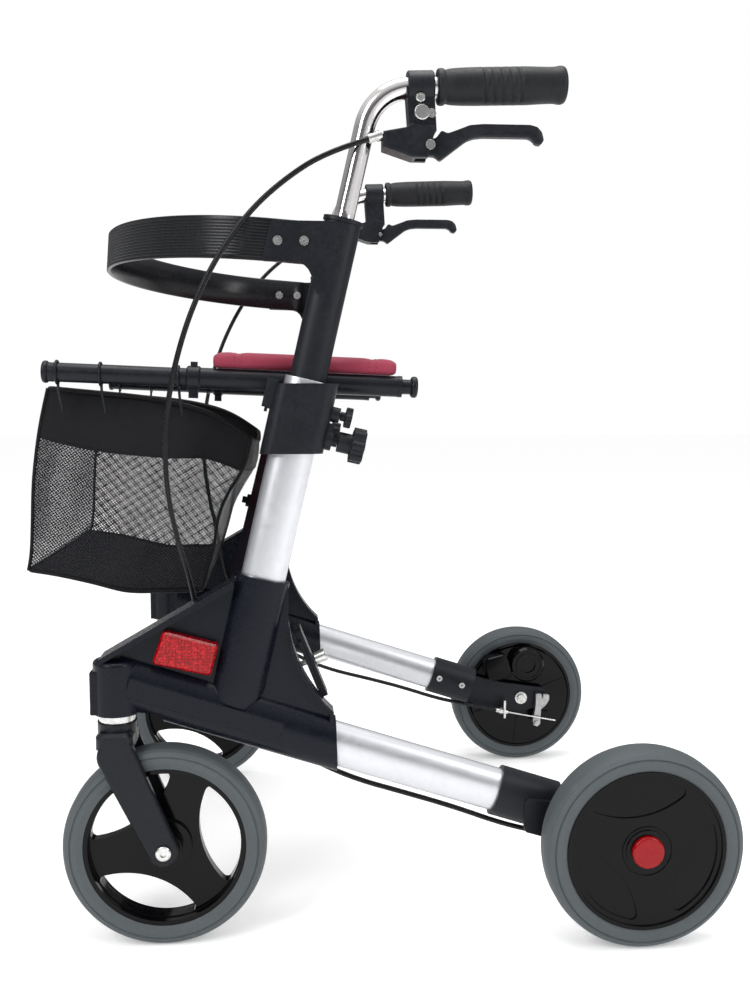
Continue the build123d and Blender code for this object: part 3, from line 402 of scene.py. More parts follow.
# Each moulded or sprayed finish: its material's name, its colour or the name of the colour
# setting, its worn colour, wear, lowest and highest roughness, grain size and depth, edge
# radius, and any coat, metal or shine of its own.
MOULDED = {
    "shell": (
        "shell_plastic", "shell", (0.008, 0.010, 0.016), 0.3, (0.24, 0.34), (1500, 0.07), 0.0016,
        {"shine": 0.16},
    ),
    "black": (
        "black_plastic", "black", (0.016, 0.018, 0.024), 0.4, (0.34, 0.5), (1700, 0.14), 0.0009, {}
    ),
    "post": (
        "black_paint", "black", (0.014, 0.016, 0.021), 0.35, (0.36, 0.5), (2100, 0.12), 0.001, {}
    ),
    "fork": (
        "fork_paint", (0.0045, 0.0055, 0.008), (0.014, 0.016, 0.02), 0.35, (0.28, 0.4),
        (1500, 0.10), 0.0022, {},
    ),
    "rail": (
        "rail_paint", (0.004, 0.005, 0.0075), (0.012, 0.014, 0.018), 0.4, (0.28, 0.42),
        (1800, 0.10), 0.0008, {},
    ),
    "wheel": (
        "gloss_wheel", "wheel", (0.004, 0.004, 0.005), 0.3, (0.08, 0.18), (900, 0.02), 0.0012,
        {"coat": 0.12, "shine": 0.08},
    ),
    "cap": (
        "red_cap", "cap", (0.32, 0.003, 0.006), 0.5, (0.12, 0.2), (900, 0.02), 0.0006,
        {"coat": 0.3, "shine": 0.1},
    ),
    "chrome": (
        "chrome", (0.66, 0.645, 0.64), (0.5, 0.49, 0.49), 0.35, (0.10, 0.17), (900, 0.008),
        0.0004, {"metal": 1.0},
    ),
    "steel": (
        "plated_steel", (0.62, 0.62, 0.61), (0.32, 0.31, 0.3), 0.6, (0.22, 0.36), (1400, 0.05),
        0.0004, {"metal": 1.0},
    ),
    "dull steel": (
        "dull_steel", (0.40, 0.40, 0.41), (0.2, 0.19, 0.18), 0.6, (0.34, 0.5), (1400, 0.08),
        0.0004, {"metal": 1.0},
    ),
    "sheath": (
        "cable_sheath", (0.004, 0.004, 0.005), (0.014, 0.014, 0.016), 0.4, (0.24, 0.36),
        (1600, 0.05), 0.0, {},
    ),
    "grip": (
        "grip_rubber", "grip", (0.018, 0.02, 0.023), 0.5, (0.42, 0.6), (1500, 0.3), 0.0008, {}
    ),
    "strap": (
        "strap_rubber", "strap", (0.012, 0.013, 0.016), 0.3, (0.22, 0.30), (1300, 0.02), 0.0, {}
    ),
    "seat thread": (
        "seat_thread", (0.19, 0.014, 0.03), (0.32, 0.03, 0.06), 0.6, (0.6, 0.75), (2500, 0.3),
        0.0, {},
    ),
}
FINISHES = {}


def moulded_finish(name):
    """One of the moulded finishes, with its colour looked up where it is a setting."""
    label, colour, *rest, extras = MOULDED[name]
    if isinstance(colour, str):
        colour = getattr(colours(), colour)
    return moulded(label, colour, *rest, **extras)


def finish(name):
    """A finish by name, made the first time it is asked for."""
    tone = colours()
    makers = {
        "tube": lambda: brushed("silver_tube", tone.tube, (0.30, 0.40), (1, 0.05, 1), 0.05),
        "lens": lens_material,
        "tyre": tyre_material,
        "seat": lambda: cloth_material("seat_cloth", tone.seat, 1500.0, 0.35, (0.55, 0.7), 0.08),
        "cloth": lambda: cloth_material(
            "basket_cloth", tone.cloth, 1400.0, 0.45, (0.5, 0.66), 0.02
        ),
        "net": net_material,
    }
    if name not in FINISHES:
        FINISHES[name] = makers[name]() if name in makers else moulded_finish(name)
    return FINISHES[name]


def cover(name, finish_name):
    """Gives a CAD node its finish."""
    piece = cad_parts[name]
    material = finish(finish_name)
    if not piece.material_slots:
        piece.data.materials.append(material)
    for place in piece.material_slots:
        place.material = material


# ---- meshes -----------------------------------------------------------------------------
def mesh_piece(name, bm, materials, smooth=True):
    """Turns a bmesh into an object with its finishes."""
    mesh = bpy.data.meshes.new(name)
    bm.to_mesh(mesh)
    bm.free()
    piece = bpy.data.objects.new(name, mesh)
    bpy.context.scene.collection.objects.link(piece)
    for material in materials:
        mesh.materials.append(finish(material))
    for face in mesh.polygons:
        face.use_smooth = smooth
    return piece


def fitted(piece, body, slot_name, *replaced):
    """Puts a piece on its body in place of CAD nodes; its slot name is not used."""
    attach(piece, body)
    if replaced:
        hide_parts(*replaced)
    return piece


def apply_modifiers(piece):
    """Replaces a piece's mesh by what its modifiers make of it."""
    graph = bpy.context.evaluated_depsgraph_get()
    result = bpy.data.meshes.new_from_object(piece.evaluated_get(graph), depsgraph=graph)
    piece.modifiers.clear()
    piece.data = result


def lathe(points, place, steps=48):
    """Spins (radius, along) corners about the local z axis and puts the ring at a matrix."""
    bm = bmesh.new()
    corners = [bm.verts.new((radius, 0, along)) for radius, along in points]
    edges = [bm.edges.new(pair) for pair in zip(corners, corners[1:])]
    bmesh.ops.spin(
        bm,
        geom=corners + edges,
        cent=(0, 0, 0),
        axis=(0, 0, 1),
        angle=math.tau,
        steps=steps,
        use_merge=True,
        use_duplicate=False,
    )
    bmesh.ops.remove_doubles(bm, verts=bm.verts[:], dist=1e-6)
    bmesh.ops.recalc_face_normals(bm, faces=bm.faces[:])
    bmesh.ops.transform(bm, matrix=place, verts=bm.verts[:])
    return bm


def slab(points, low, high, edge, segments=3):
    """A flat piece in a side view, from (ahead, z) corners, with rounded rims."""
    bm = bmesh.new()
    corners = [bm.verts.new(at(low, ahead, z)) for ahead, z in points]
    face = bm.faces.new(corners)
    made = bmesh.ops.extrude_face_region(bm, geom=[face])
    moved = [part for part in made["geom"] if isinstance(part, bmesh.types.BMVert)]
    bmesh.ops.translate(bm, vec=(high - low, 0, 0), verts=moved)
    bmesh.ops.recalc_face_normals(bm, faces=bm.faces[:])
    bmesh.ops.bevel(
        bm,
        geom=bm.edges[:],
        offset=edge,
        offset_type="OFFSET",
        affect="EDGES",
        segments=segments,
        profile=0.5,
        material=-1,
        clamp_overlap=True,
    )
    return bm


def mirrored(bm):
    """Turns a left-hand shape into its right-hand twin."""
    bmesh.ops.scale(bm, vec=(-1, 1, 1), verts=bm.verts[:])
    bmesh.ops.reverse_faces(bm, faces=bm.faces[:])
    return bm


def drawn_line(name, points, radius, resolution=8, cyclic=False):
    """A smooth round line through the pull of its points."""
    curve = bpy.data.curves.new(name, "CURVE")
    curve.dimensions = "3D"
    curve.bevel_depth = radius
    curve.bevel_resolution = 4
    curve.resolution_u = resolution
    curve.use_fill_caps = not cyclic
    spline = curve.splines.new("NURBS")
    spline.points.add(len(points) - 1)
    for point, where in zip(spline.points, points):
        point.co = (*where, 1)
    spline.order_u = 3
    spline.use_cyclic_u = cyclic
    spline.use_endpoint_u = not cyclic
    piece = bpy.data.objects.new(name, curve)
    bpy.context.scene.collection.objects.link(piece)
    return piece


def as_mesh(piece, material):
    """Swaps a curve for the mesh that it draws."""
    graph = bpy.context.evaluated_depsgraph_get()
    mesh = bpy.data.meshes.new_from_object(piece.evaluated_get(graph), depsgraph=graph)
    name = piece.name
    bpy.data.objects.remove(piece)
    made = bpy.data.objects.new(name, mesh)
    bpy.context.scene.collection.objects.link(made)
    mesh.materials.clear()
    mesh.materials.append(finish(material))
    for face in mesh.polygons:
        face.use_smooth = True
    return made


# ---- the CAD pieces' finishes -----------------------------------------------------------
SIDE_FINISHES = {
    "base_tube": "tube",
    "post_tube": "tube",
    "front_shell": "shell",
    "collar": "black",
    "rear_bracket": "post",
    "brake_unit": "wheel",
    "reflector": "lens",
    "frame_fasteners": "steel",
    "height_knob": "black",
    "small_knob": "black",
    "rear_tyre": "tyre",
    "rear_wheel": "wheel",
    "rear_cap": "cap",
    "front_tyre": "tyre",
    "front_wheel": "wheel",
    "fork": "fork",
    "front_axle": "steel",
    "handlebar": "chrome",
    "upper_post": "post",
    "lever_housing": "black",
    "handle_fasteners": "steel",
    "brake_arm": "dull steel",
    "seat_rail": "rail",
}
OTHER_FINISHES = {
    "brace_bar_a": "post",
    "brace_bar_b": "post",
    "latch_plate": "black",
    "latch_knob": "steel",
}


class WALKER_OT_frame_finishes(bpy.types.Operator):
    """Gives every CAD piece that stays in view its finish"""

    bl_idname = "walker.frame_finishes"
    bl_label = "Frame finishes"

    def execute(self, context):
        for side, _ in SIDES:
            for piece, look in SIDE_FINISHES.items():
                cover(f"{side}_{piece}", look)
        for piece, look in OTHER_FINISHES.items():
            cover(piece, look)
        return {"FINISHED"}


# ---- brake cables -----------------------------------------------------------------------
CABLE_ROUTE = [
    (0.2585, 0.2695, 0.7815),
    (0.259, 0.309, 0.769),
    (0.2585, 0.349, 0.743),
    (0.258, 0.382, 0.713),
    (0.257, 0.411, 0.673),
    (0.256, 0.433, 0.630),
    (0.254, 0.448, 0.588),
    (0.250, 0.459, 0.543),
    (0.246, 0.464, 0.497),
    (0.240, 0.463, 0.449),
    (0.227, 0.455, 0.402),
    (0.2125, 0.444, 0.358),
    (0.2095, 0.437, 0.318),
    (0.209, 0.427, 0.279),
    (0.209, 0.402, 0.240),
    (0.210, 0.369, 0.206),
    (0.215, 0.330, 0.176),
    (0.222, 0.283, 0.155),
    (0.227, 0.233, 0.141),
    (0.231, 0.180, 0.125),
    (0.235, 0.128, 0.106),
    (0.2365, 0.082, 0.0955),
    (0.237, 0.040, 0.086),
]


class WALKER_OT_brake_cables(bpy.types.Operator):
    """Runs a brake cable down each side, from its lever to its brake"""

    bl_idname = "walker.brake_cables"
    bl_label = "Brake cables"

    def execute(self, context):
        for side, sign in SIDES:
            points = [at(sign * x, ahead, z) for x, ahead, z in CABLE_ROUTE]
            route = drawn_line(f"{side}_route", points, 0, 6)
            route_mesh = bpy.data.meshes.new_from_object(route)
            path = [tuple(vertex.co) for vertex in route_mesh.vertices]
            bpy.data.objects.remove(route)
            drawn = drawn_line(f"{side}_cable", points, sizes().cable_diameter / 2, 6)
            cable = as_mesh(drawn, "sheath")
            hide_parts(f"{side}_brake_cable")
            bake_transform(cable)
        return {"FINISHED"}


# ---- handles ----------------------------------------------------------------------------
GRIP_SLOPE = math.radians(2.3)
GRIP_NOTCHES = (0.045, 0.0535, 0.062, 0.0705, 0.079)


def grip_profile(low, high, bore):
    """(radius, along) corners of a grip: collar, waist, five notches under the palm, end roll."""
    points = [
        (bore, low),
        (0.0152, low),
        (0.0166, low + 0.0012),
        (0.0169, low + 0.0040),
        (0.0166, low + 0.0065),
        (0.0154, low + 0.0072),
        (0.0152, low + 0.0090),
        (0.0160, low + 0.0100),
        (0.0168, low + 0.0180),
        (0.0172, low + 0.0320),
    ]
    swell = [(0.0173, low + 0.042), (0.0174, low + 0.085), (0.0168, high - 0.026)]
    end = [
        (0.0165, high - 0.014),
        (0.0166, high - 0.0105),
        (0.0172, high - 0.0085),
        (0.0176, high - 0.0060),
        (0.0174, high - 0.0030),
        (0.0160, high - 0.0008),
        (0.0130, high),
        (0.0040, high),
        (0.0, high),
    ]
    return points + swell + end


class WALKER_OT_grips(bpy.types.Operator):
    """Makes the soft handle grips"""

    bl_idname = "walker.grips"
    bl_label = "Handle grips"

    def execute(self, context):
        for side, _ in SIDES:
            low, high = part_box(f"{side}_grip")
            length_along = (high.y - low.y) / math.cos(GRIP_SLOPE)
            centre = (low + high) / 2
            start = Vector((centre.x, low.y, centre.z - math.sin(GRIP_SLOPE) * length_along / 2))
            place = Matrix.Translation(start) @ Matrix.Rotation(GRIP_SLOPE - math.pi / 2, 4, "X")
            bm = lathe(grip_profile(0.0007, length_along - 0.0007, 0.0101), place, 56)
            self.press_notches(bm, place.inverted())
            grip = mesh_piece(f"{side}_grip_sleeve", bm, ["grip"])
            smooth = grip.modifiers.new("smooth", "SUBSURF")
            smooth.levels = 1
            smooth.render_levels = 1
            fitted(grip, f"{side}_handle", "black_rubber", f"{side}_grip")
        return {"FINISHED"}

    def press_notches(self, bm, inverse):
        """Cuts short slots across the top of the grip for the fingers."""
        for along in GRIP_NOTCHES:
            for shift in (-0.0016, -0.0007, 0.0007, 0.0016):
                plane = inverse.inverted() @ Vector((0, 0, along + shift))
                normal = inverse.inverted().to_3x3() @ Vector((0, 0, 1))
                bmesh.ops.bisect_plane(
                    bm, geom=bm.verts[:] + bm.edges[:] + bm.faces[:], plane_co=plane, plane_no=normal
                )
            for vertex in bm.verts:
                local = inverse @ vertex.co
                radius = math.hypot(local.x, local.y)
                if radius > 0.012 and abs(local.z - along) < 0.0009:
                    above = max(0.0, abs(local.x) / radius - 0.2)
                    depth = 0.0016 * min(1.0, 2.2 * above)
                    out = Vector((local.x, local.y, 0)).normalized()
                    vertex.co = inverse.inverted() @ (local - out * depth)


LEVER_OUTLINE = [
    (0.219, 0.782),
    (0.205, 0.785),
    (0.200, 0.792),
    (0.194, 0.7895),
    (0.183, 0.7935),
    (0.173, 0.7975),
    (0.160, 0.7988),
    (0.115, 0.7990),
    (0.108, 0.7972),
    (0.1035, 0.7925),
    (0.1015, 0.785),
    (0.1045, 0.7805),
    (0.1095, 0.7815),
    (0.1115, 0.7845),
    (0.116, 0.787),
    (0.160, 0.7868),
    (0.169, 0.7857),
    (0.176, 0.783),
    (0.184, 0.777),
    (0.201, 0.764),
    (0.206, 0.768),
    (0.219, 0.769),
]


class WALKER_OT_brake_levers(bpy.types.Operator):
    """Makes the brake levers"""

    bl_idname = "walker.brake_levers"
    bl_label = "Brake levers"

    def execute(self, context):
        low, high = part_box("left_brake_lever")
        for side, sign in SIDES:
            bm = slab(LEVER_OUTLINE, low.x, high.x, 0.0026, 3)
            if sign < 0:
                mirrored(bm)
            lever = mesh_piece(f"{side}_lever_blade", bm, ["black"])
            fitted(lever, f"{side}_brake_lever", "black_plastic", f"{side}_brake_lever")
        return {"FINISHED"}


# ---- backrest strap -----------------------------------------------------------------------
def strap_section(height, thickness, ribs, depth):
    """The strap's cut end: flat inside, ribbed outside."""
    half = height / 2
    rim = 0.0012
    points = [(-thickness / 2, -half + rim), (-thickness / 2 + rim, -half)]
    points += [(thickness / 2 - rim, -half), (thickness / 2, -half + rim)]
    span = height - 4 * rim
    for index in range(ribs):
        low = -half + 2 * rim + span * index / ribs
        step = span / ribs
        points += [
            (thickness / 2 - depth, low + 0.12 * step),
            (thickness / 2, low + 0.36 * step),
            (thickness / 2, low + 0.76 * step),
        ]
    points += [(thickness / 2 - depth, half - 2 * rim)]
    points += [(thickness / 2, half - rim), (thickness / 2 - rim, half)]
    points += [(-thickness / 2 + rim, half), (-thickness / 2, half - rim)]
    return points


class WALKER_OT_backrest_strap(bpy.types.Operator):
    """Bends the ribbed backrest strap round from post to post"""

    bl_idname = "walker.backrest_strap"
    bl_label = "Backrest strap"

    def execute(self, context):
        low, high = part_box("backrest_strap")
        thickness = 0.0048
        half_width = (high.x - low.x) / 2 - thickness / 2 - 0.0001
        tilt = math.radians(4.2)
        height = 0.0405
        start_y = at(0, 0.360, 0).y
        reach = 0.187
        ends = start_y + 0.038
        section = strap_section(height, thickness, sizes().strap_ribs, sizes().strap_rib_depth)
        bm = bmesh.new()
        stations = self.stations(half_width, reach, start_y, ends)
        rings = []
        for where, outward in stations:
            ring = []
            for out, up in section:
                ring.append(bm.verts.new(where + outward * out + Vector((0, 0, up))))
            rings.append([bm.edges.new(pair) for pair in zip(ring, ring[1:] + ring[:1])])
        for first, second in zip(rings, rings[1:]):
            bmesh.ops.bridge_loops(bm, edges=first + second)
        bmesh.ops.holes_fill(bm, edges=rings[0], sides=0)
        bmesh.ops.holes_fill(bm, edges=rings[-1], sides=0)
        bmesh.ops.recalc_face_normals(bm, faces=bm.faces[:])
        pivot = at(0, 0.340, 0.689)
        turn = (
            Matrix.Translation(pivot)
            @ Matrix.Rotation(-tilt, 4, "X")
            @ Matrix.Translation((0, -pivot.y, 0))
        )
        bmesh.ops.transform(bm, matrix=turn, verts=bm.verts[:])
        strap = mesh_piece("backrest_band", bm, ["strap"])
        for face in strap.data.polygons:
            face.use_smooth = len(face.vertices) == 4
        fitted(strap, "left_handle", "strap_black", "backrest_strap")
        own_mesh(strap)
        return {"FINISHED"}

    def stations(self, half_width, reach, start_y, ends):
        """Centre points and outward directions from the left post round to the right."""
        made = [(Vector((half_width, ends, 0)), Vector((1, 0, 0)))]
        made.append((Vector((half_width, (ends + start_y) / 2, 0)), Vector((1, 0, 0))))
        steps = 96
        for index in range(steps + 1):
            angle = math.pi * index / steps
            x = half_width * math.cos(angle)
            y = start_y - reach * math.sin(angle)
            out = Vector((math.cos(angle) / half_width, -math.sin(angle) / reach, 0))
            made.append((Vector((x, y, 0)), out.normalized()))
        made.append((Vector((-half_width, (ends + start_y) / 2, 0)), Vector((-1, 0, 0))))
        made.append((Vector((-half_width, ends, 0)), Vector((-1, 0, 0))))
        return made


# ---- seat ---------------------------------------------------------------------------------
SEAT_SEAMS = (-0.067, 0.067)


def seat_frame():
    """The seat's middle, level with its padding, and its half sizes, on the slope of the rails."""
    low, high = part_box("seat_pad")
    half = Vector(((high.x - low.x) / 2, 0.0945, 0.00725))
    centre = (low + high) / 2
    return Matrix.Translation(centre) @ Matrix.Rotation(-RAIL_SLOPE, 4, "X"), half


def unwrap_flat(piece, inverse):
    """A UV map in metres: across and along on top, round the edge on the sides."""
    layer = piece.data.uv_layers.new(name="cloth")
    for face in piece.data.polygons:
        normal = inverse.to_3x3() @ face.normal
        for index in face.loop_indices:
            place = inverse @ piece.data.vertices[piece.data.loops[index].vertex_index].co
            if abs(normal.z) > 0.6:
                layer.data[index].uv = (place.x, place.y)
            elif abs(normal.x) > abs(normal.y):
                layer.data[index].uv = (place.y, place.z)
            else:
                layer.data[index].uv = (place.x, place.z)


class WALKER_OT_seat(bpy.types.Operator):
    """Sews the padded seat, with its seams and its lines of stitches"""

    bl_idname = "walker.seat"
    bl_label = "Seat"

    def execute(self, context):
        place, half = seat_frame()
        pad = self.cushion(place, half)
        unwrap_flat(pad, place.inverted())
        fitted(pad, "left_rail", "red_fabric", "seat_pad")
        for piece in (pad, self.trim(place, half, pad)):
            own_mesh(piece)
        return {"FINISHED"}

    def cushion(self, place, half):
        inset = 0.0012
        bm = bmesh.new()
        bmesh.ops.create_cube(bm, size=2)
        size = (half.x - inset, half.y - inset, half.z - 0.0004)
        bmesh.ops.scale(bm, vec=size, verts=bm.verts[:])
        upright = [e for e in bm.edges if abs((e.verts[0].co - e.verts[1].co).z) > 1e-4]
        bmesh.ops.bevel(
            bm, geom=upright, offset=0.008, affect="EDGES", segments=5, profile=0.5, material=-1
        )
        pad = mesh_piece("seat_cushion", bm, ["seat"])
        remesh = pad.modifiers.new("cells", "REMESH")
        remesh.mode = "VOXEL"
        remesh.voxel_size = sizes().seat_cell
        apply_modifiers(pad)
        rest = [vertex.co.copy() for vertex in pad.data.vertices]
        self.puff(pad, rest)
        self.shape(pad, half)
        smooth = pad.modifiers.new("smooth", "SUBSURF")
        smooth.levels = 1
        smooth.render_levels = 1
        apply_modifiers(pad)
        pad.data.materials.clear()
        pad.data.materials.append(finish("seat"))
        pad.data.transform(place)
        for face in pad.data.polygons:
            face.use_smooth = True
        return pad

    def puff(self, pad, rest):
        """Blows the pad up as cloth, and keeps each point within a small cap."""
        cloth = pad.modifiers.new("cloth", "CLOTH")
        cloth.settings.quality = 5
        cloth.settings.mass = 0.3
        cloth.settings.tension_stiffness = 30
        cloth.settings.compression_stiffness = 30
        cloth.settings.bending_stiffness = 1.0
        cloth.settings.use_pressure = True
        cloth.settings.uniform_pressure_force = 4.0
        cloth.settings.effector_weights.gravity = 0
        scene = bpy.context.scene
        for step in range(1, 21):
            scene.frame_set(step)
        apply_modifiers(pad)
        scene.frame_set(1)
        cap = 0.0022
        for vertex, start in zip(pad.data.vertices, rest):
            move = vertex.co - start
            move.x *= 0.4
            if move.length > cap:
                move = move.normalized() * cap
            vertex.co = start + move

    def shape(self, pad, half):
        """Sews two channels across and keeps the underside flat on the rails."""
        for vertex in pad.data.vertices:
            co = vertex.co
            for across in SEAT_SEAMS:
                dip = math.exp(-(((co.y - across) / 0.0032) ** 2))
                if abs(co.x) > half.x - 0.004:
                    co.x -= math.copysign(0.0010 * dip, co.x)
                elif co.z > 0:
                    co.z -= 0.0018 * dip
            if co.z > 0:
                crown = (1 - (co.x / half.x) ** 4) * (1 - (co.y / half.y) ** 4)
                co.z += sizes().seat_crown * max(0.0, crown) * 0.5
            else:
                co.z = max(co.z, -half.z + 0.0004)

    def trim(self, place, half, pad):
        """Stitches beside the seams, across the top and down the sides."""
        cloth = BVHTree.FromPolygons(
            [vertex.co for vertex in pad.data.vertices], [face.vertices for face in pad.data.polygons]
        )
        stitches = bmesh.new()
        step = 1.7 * sizes().stitch_length
        lines = [seam + shift for seam in SEAT_SEAMS for shift in (-0.0035, 0.0035)]
        count = int(2 * (half.x - 0.012) / step)
        for across in lines:
            for index in range(count + 1):
                where = Vector((-half.x + 0.012 + index * step, across, 2 * half.z))
                self.stitch(stitches, cloth, place, where, Vector((1, 0, 0)), Vector((0, 0, -1)))
            for side in (-1, 1):
                for index in range(3):
                    where = Vector((side * 1.2 * half.x, across, -0.0038 + index * 0.0040))
                    inward = Vector((-side, 0, 0))
                    self.stitch(stitches, cloth, place, where, Vector((0, 0, 0.75)), inward)
        thread = mesh_piece("seat_stitches", stitches, ["seat thread"])
        return fitted(thread, "left_rail", "red_fabric")

    def stitch(self, bm, cloth, place, where, along, towards):
        """One short raised stitch, laid on the cloth that it meets."""
        turn = place.to_3x3()
        spot = cloth.ray_cast(place @ where, turn @ towards)[0]
        if spot is None:
            return
        made = bmesh.ops.create_icosphere(bm, subdivisions=1, radius=0.0005)["verts"]
        grow = Matrix.Identity(3)
        for axis in range(3):
            grow[axis][axis] = 1 + abs(along[axis]) * (sizes().stitch_length / 0.001 - 1)
        bmesh.ops.transform(bm, matrix=(turn @ grow).to_4x4(), verts=made)
        bmesh.ops.translate(bm, vec=spot, verts=made)


# ---- basket -------------------------------------------------------------------------------
BASKET_TOP = [
    (0.587, 0.551), (0.54, 0.5465), (0.486, 0.541),
    (0.44, 0.531), (0.411, 0.518), (0.384, 0.4995),
]
BASKET_BOTTOM = [
    (0.611, 0.366), (0.582, 0.361), (0.545, 0.352),
    (0.512, 0.343), (0.475, 0.3425), (0.437, 0.3425),
]
BASKET_FRONT = [
    (0.587, 0.551), (0.596, 0.511), (0.603, 0.461),
    (0.6055, 0.415), (0.6075, 0.385), (0.611, 0.366),
]
BASKET_REAR = [
    (0.384, 0.4995), (0.391, 0.472), (0.408, 0.444),
    (0.418, 0.42), (0.424, 0.386), (0.437, 0.3425),
]


def along(points, share):
    """A place part of the way along a list of points, smoothed by a Catmull-Rom curve."""
    last = len(points) - 1
    spot = min(max(share, 0.0), 1.0) * last
    index = min(int(spot), last - 1)
    t = spot - index
    p0 = Vector(points[max(index - 1, 0)])
    p1 = Vector(points[index])
    p2 = Vector(points[index + 1])
    p3 = Vector(points[min(index + 2, last)])
    return 0.5 * (
        2 * p1
        + (p2 - p0) * t
        + (2 * p0 - 5 * p1 + 4 * p2 - p3) * t * t
        + (3 * p1 - p0 - 3 * p2 + p3) * t * t * t
    )


def side_point(s, t):
    """A place on the basket's side: s from front to rear, t from rim to bottom."""
    corners = [Vector(BASKET_TOP[0]), Vector(BASKET_TOP[-1])]
    corners += [Vector(BASKET_BOTTOM[0]), Vector(BASKET_BOTTOM[-1])]
    ruled = (1 - t) * along(BASKET_TOP, s) + t * along(BASKET_BOTTOM, s)
    ruled += (1 - s) * along(BASKET_FRONT, t) + s * along(BASKET_REAR, t)
    flat = (1 - s) * ((1 - t) * corners[0] + t * corners[2])
    flat += s * ((1 - t) * corners[1] + t * corners[3])
    return ruled - flat


def band_edge(s):
    """How far down the solid rim band reaches."""
    return 0.235 + 0.05 * math.sin(math.pi * min(1.0, 1.3 * s))


NET_EDGE = 0.972


class WALKER_OT_basket(bpy.types.Operator):
    """Sews the hanging basket: solid rim band, net walls, solid bottom and bound edges"""

    bl_idname = "walker.basket"
    bl_label = "Basket"

    rows = (8, 22, 2)
    side_cells = 30
    front_cells = 34

    def execute(self, context):
        low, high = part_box("basket")
        self.half = (high.x - low.x) / 2 - 0.001
        bm = bmesh.new()
        cloth = bm.loops.layers.uv.new("cloth")
        self.grid(bm, cloth, lambda s, v: self.side(s, v, 1), self.side_cells, False)
        self.grid(bm, cloth, lambda s, v: self.side(s, v, -1), self.side_cells, True)
        self.grid(bm, cloth, lambda s, v: self.front(s, v, 0.0), self.front_cells, False)
        self.grid(bm, cloth, lambda s, v: self.front(s, v, 1.0), self.front_cells, True)
        self.bottom(bm, cloth)
        bmesh.ops.remove_doubles(bm, verts=bm.verts[:], dist=0.0004)
        basket = mesh_piece("basket_bag", bm, ["cloth", "net"])
        wall = basket.modifiers.new("wall", "SOLIDIFY")
        wall.thickness = 0.0008
        wall.offset = 0
        fitted(basket, "left_rail", "basket_fabric", "basket")
        pieces = [basket, *self.bindings()]
        apply_modifiers(basket)
        for piece in pieces:
            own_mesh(piece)
        return {"FINISHED"}

    def level(self, v, s):
        """Turns a row number share into how far down the cloth it lies."""
        band, net = band_edge(s), NET_EDGE
        top, mid, _ = self.rows
        if v <= top:
            return band * v / top
        if v <= top + mid:
            return band + (net - band) * (v - top) / mid
        return net + (1 - net) * (v - top - mid) / self.rows[2]

    def side(self, s, v, sign):
        t = self.level(v, s)
        place = side_point(s, t)
        belly = 0.010 * math.sin(math.pi * s) * math.sin(math.pi * t) ** 0.8
        ripple = 0.0016 * math.sin(21 * s + 2.5 * t) * math.sin(math.pi * t)
        x = sign * (self.half - 0.010 + belly + ripple)
        return at(x, place.x, place.y), (place.x, place.y)

    def front(self, s, v, end):
        t = self.level(v, end)
        place = side_point(end, t)
        x = (self.half - 0.010) * (1 - 2 * s)
        bulge = 0.010 * math.sin(math.pi * s) * math.sin(math.pi * min(1.0, t + 0.1))
        sag = 0.007 * math.sin(math.pi * s) * (1 - t)
        ahead = place.x + (bulge if end == 0 else -bulge)
        if end == 0:
            ahead = min(ahead, 0.6125)
        return at(x, ahead, place.y - sag), (x, place.y)

    def grid(self, bm, cloth, shape, cells, flip):
        """One panel of the bag, with its finish changing from row to row."""
        rows = sum(self.rows)
        points = []
        for v in range(rows + 1):
            points.append([shape(index / cells, v) for index in range(cells + 1)])
        verts = [[bm.verts.new(where) for where, _ in row] for row in points]
        for v in range(rows):
            for index in range(cells):
                corners = [(v, index), (v, index + 1), (v + 1, index + 1), (v + 1, index)]
                if flip:
                    corners.reverse()
                face = bm.faces.new([verts[a][b] for a, b in corners])
                face.material_index = int(self.rows[0] <= v < self.rows[0] + self.rows[1])
                for loop, (a, b) in zip(face.loops, corners):
                    loop[cloth].uv = points[a][b][1]

    def bottom(self, bm, cloth):
        """The solid bottom, sagging between its four edges."""
        last = sum(self.rows)
        cells = self.side_cells
        rows = self.front_cells
        verts = []
        for j in range(rows + 1):
            u = j / rows
            row = []
            for index in range(cells + 1):
                s = index / cells
                near, _ = self.side(s, last, 1)
                far, _ = self.side(s, last, -1)
                place = near.lerp(far, u)
                place.z -= sizes().basket_sag * 0.1 * math.sin(math.pi * s) * math.sin(math.pi * u)
                if index in (0, cells):
                    place = self.front(u, last, float(index == cells))[0]
                row.append(bm.verts.new(place))
            verts.append(row)
        for j in range(rows):
            for index in range(cells):
                corners = [(j, index), (j, index + 1), (j + 1, index + 1), (j + 1, index)]
                face = bm.faces.new([verts[a][b] for a, b in corners])
                for loop, (a, b) in zip(face.loops, corners):
                    loop[cloth].uv = verts[a][b].co.xy

    def bindings(self):
        """Bound tape round the rim, down the corners, round the bottom and at the band's edge."""
        last = sum(self.rows)
        lines = {}
        rounds = (("rim", 0, 0.0026), ("base", last, 0.0020), ("band", self.rows[0], 0.0012))
        for tag, v, radius in rounds:
            loop = [self.side(i / 12, v, 1)[0] for i in range(13)]
            loop += [self.front(i / 12, v, 1.0)[0] for i in range(1, 12)]
            loop += [self.side(1 - i / 12, v, -1)[0] for i in range(13)]
            loop += [self.front(1 - i / 12, v, 0.0)[0] for i in range(1, 12)]
            lines[f"basket_{tag}_binding"] = (loop, radius, True)
        for side, sign in SIDES:
            for tag, s in (("front", 0.0), ("rear", 1.0)):
                post = [self.side(s, v, sign)[0] for v in range(0, last + 1, 2)]
                lines[f"basket_{side}_{tag}_binding"] = (post, 0.0018, False)
        made = []
        for name, (points, radius, closed) in lines.items():
            tape = as_mesh(drawn_line(name, points, radius, 4, closed), "cloth")
            tape.data.uv_layers.new(name="cloth")
            made.append(fitted(tape, "left_rail", "basket_fabric"))
        return made


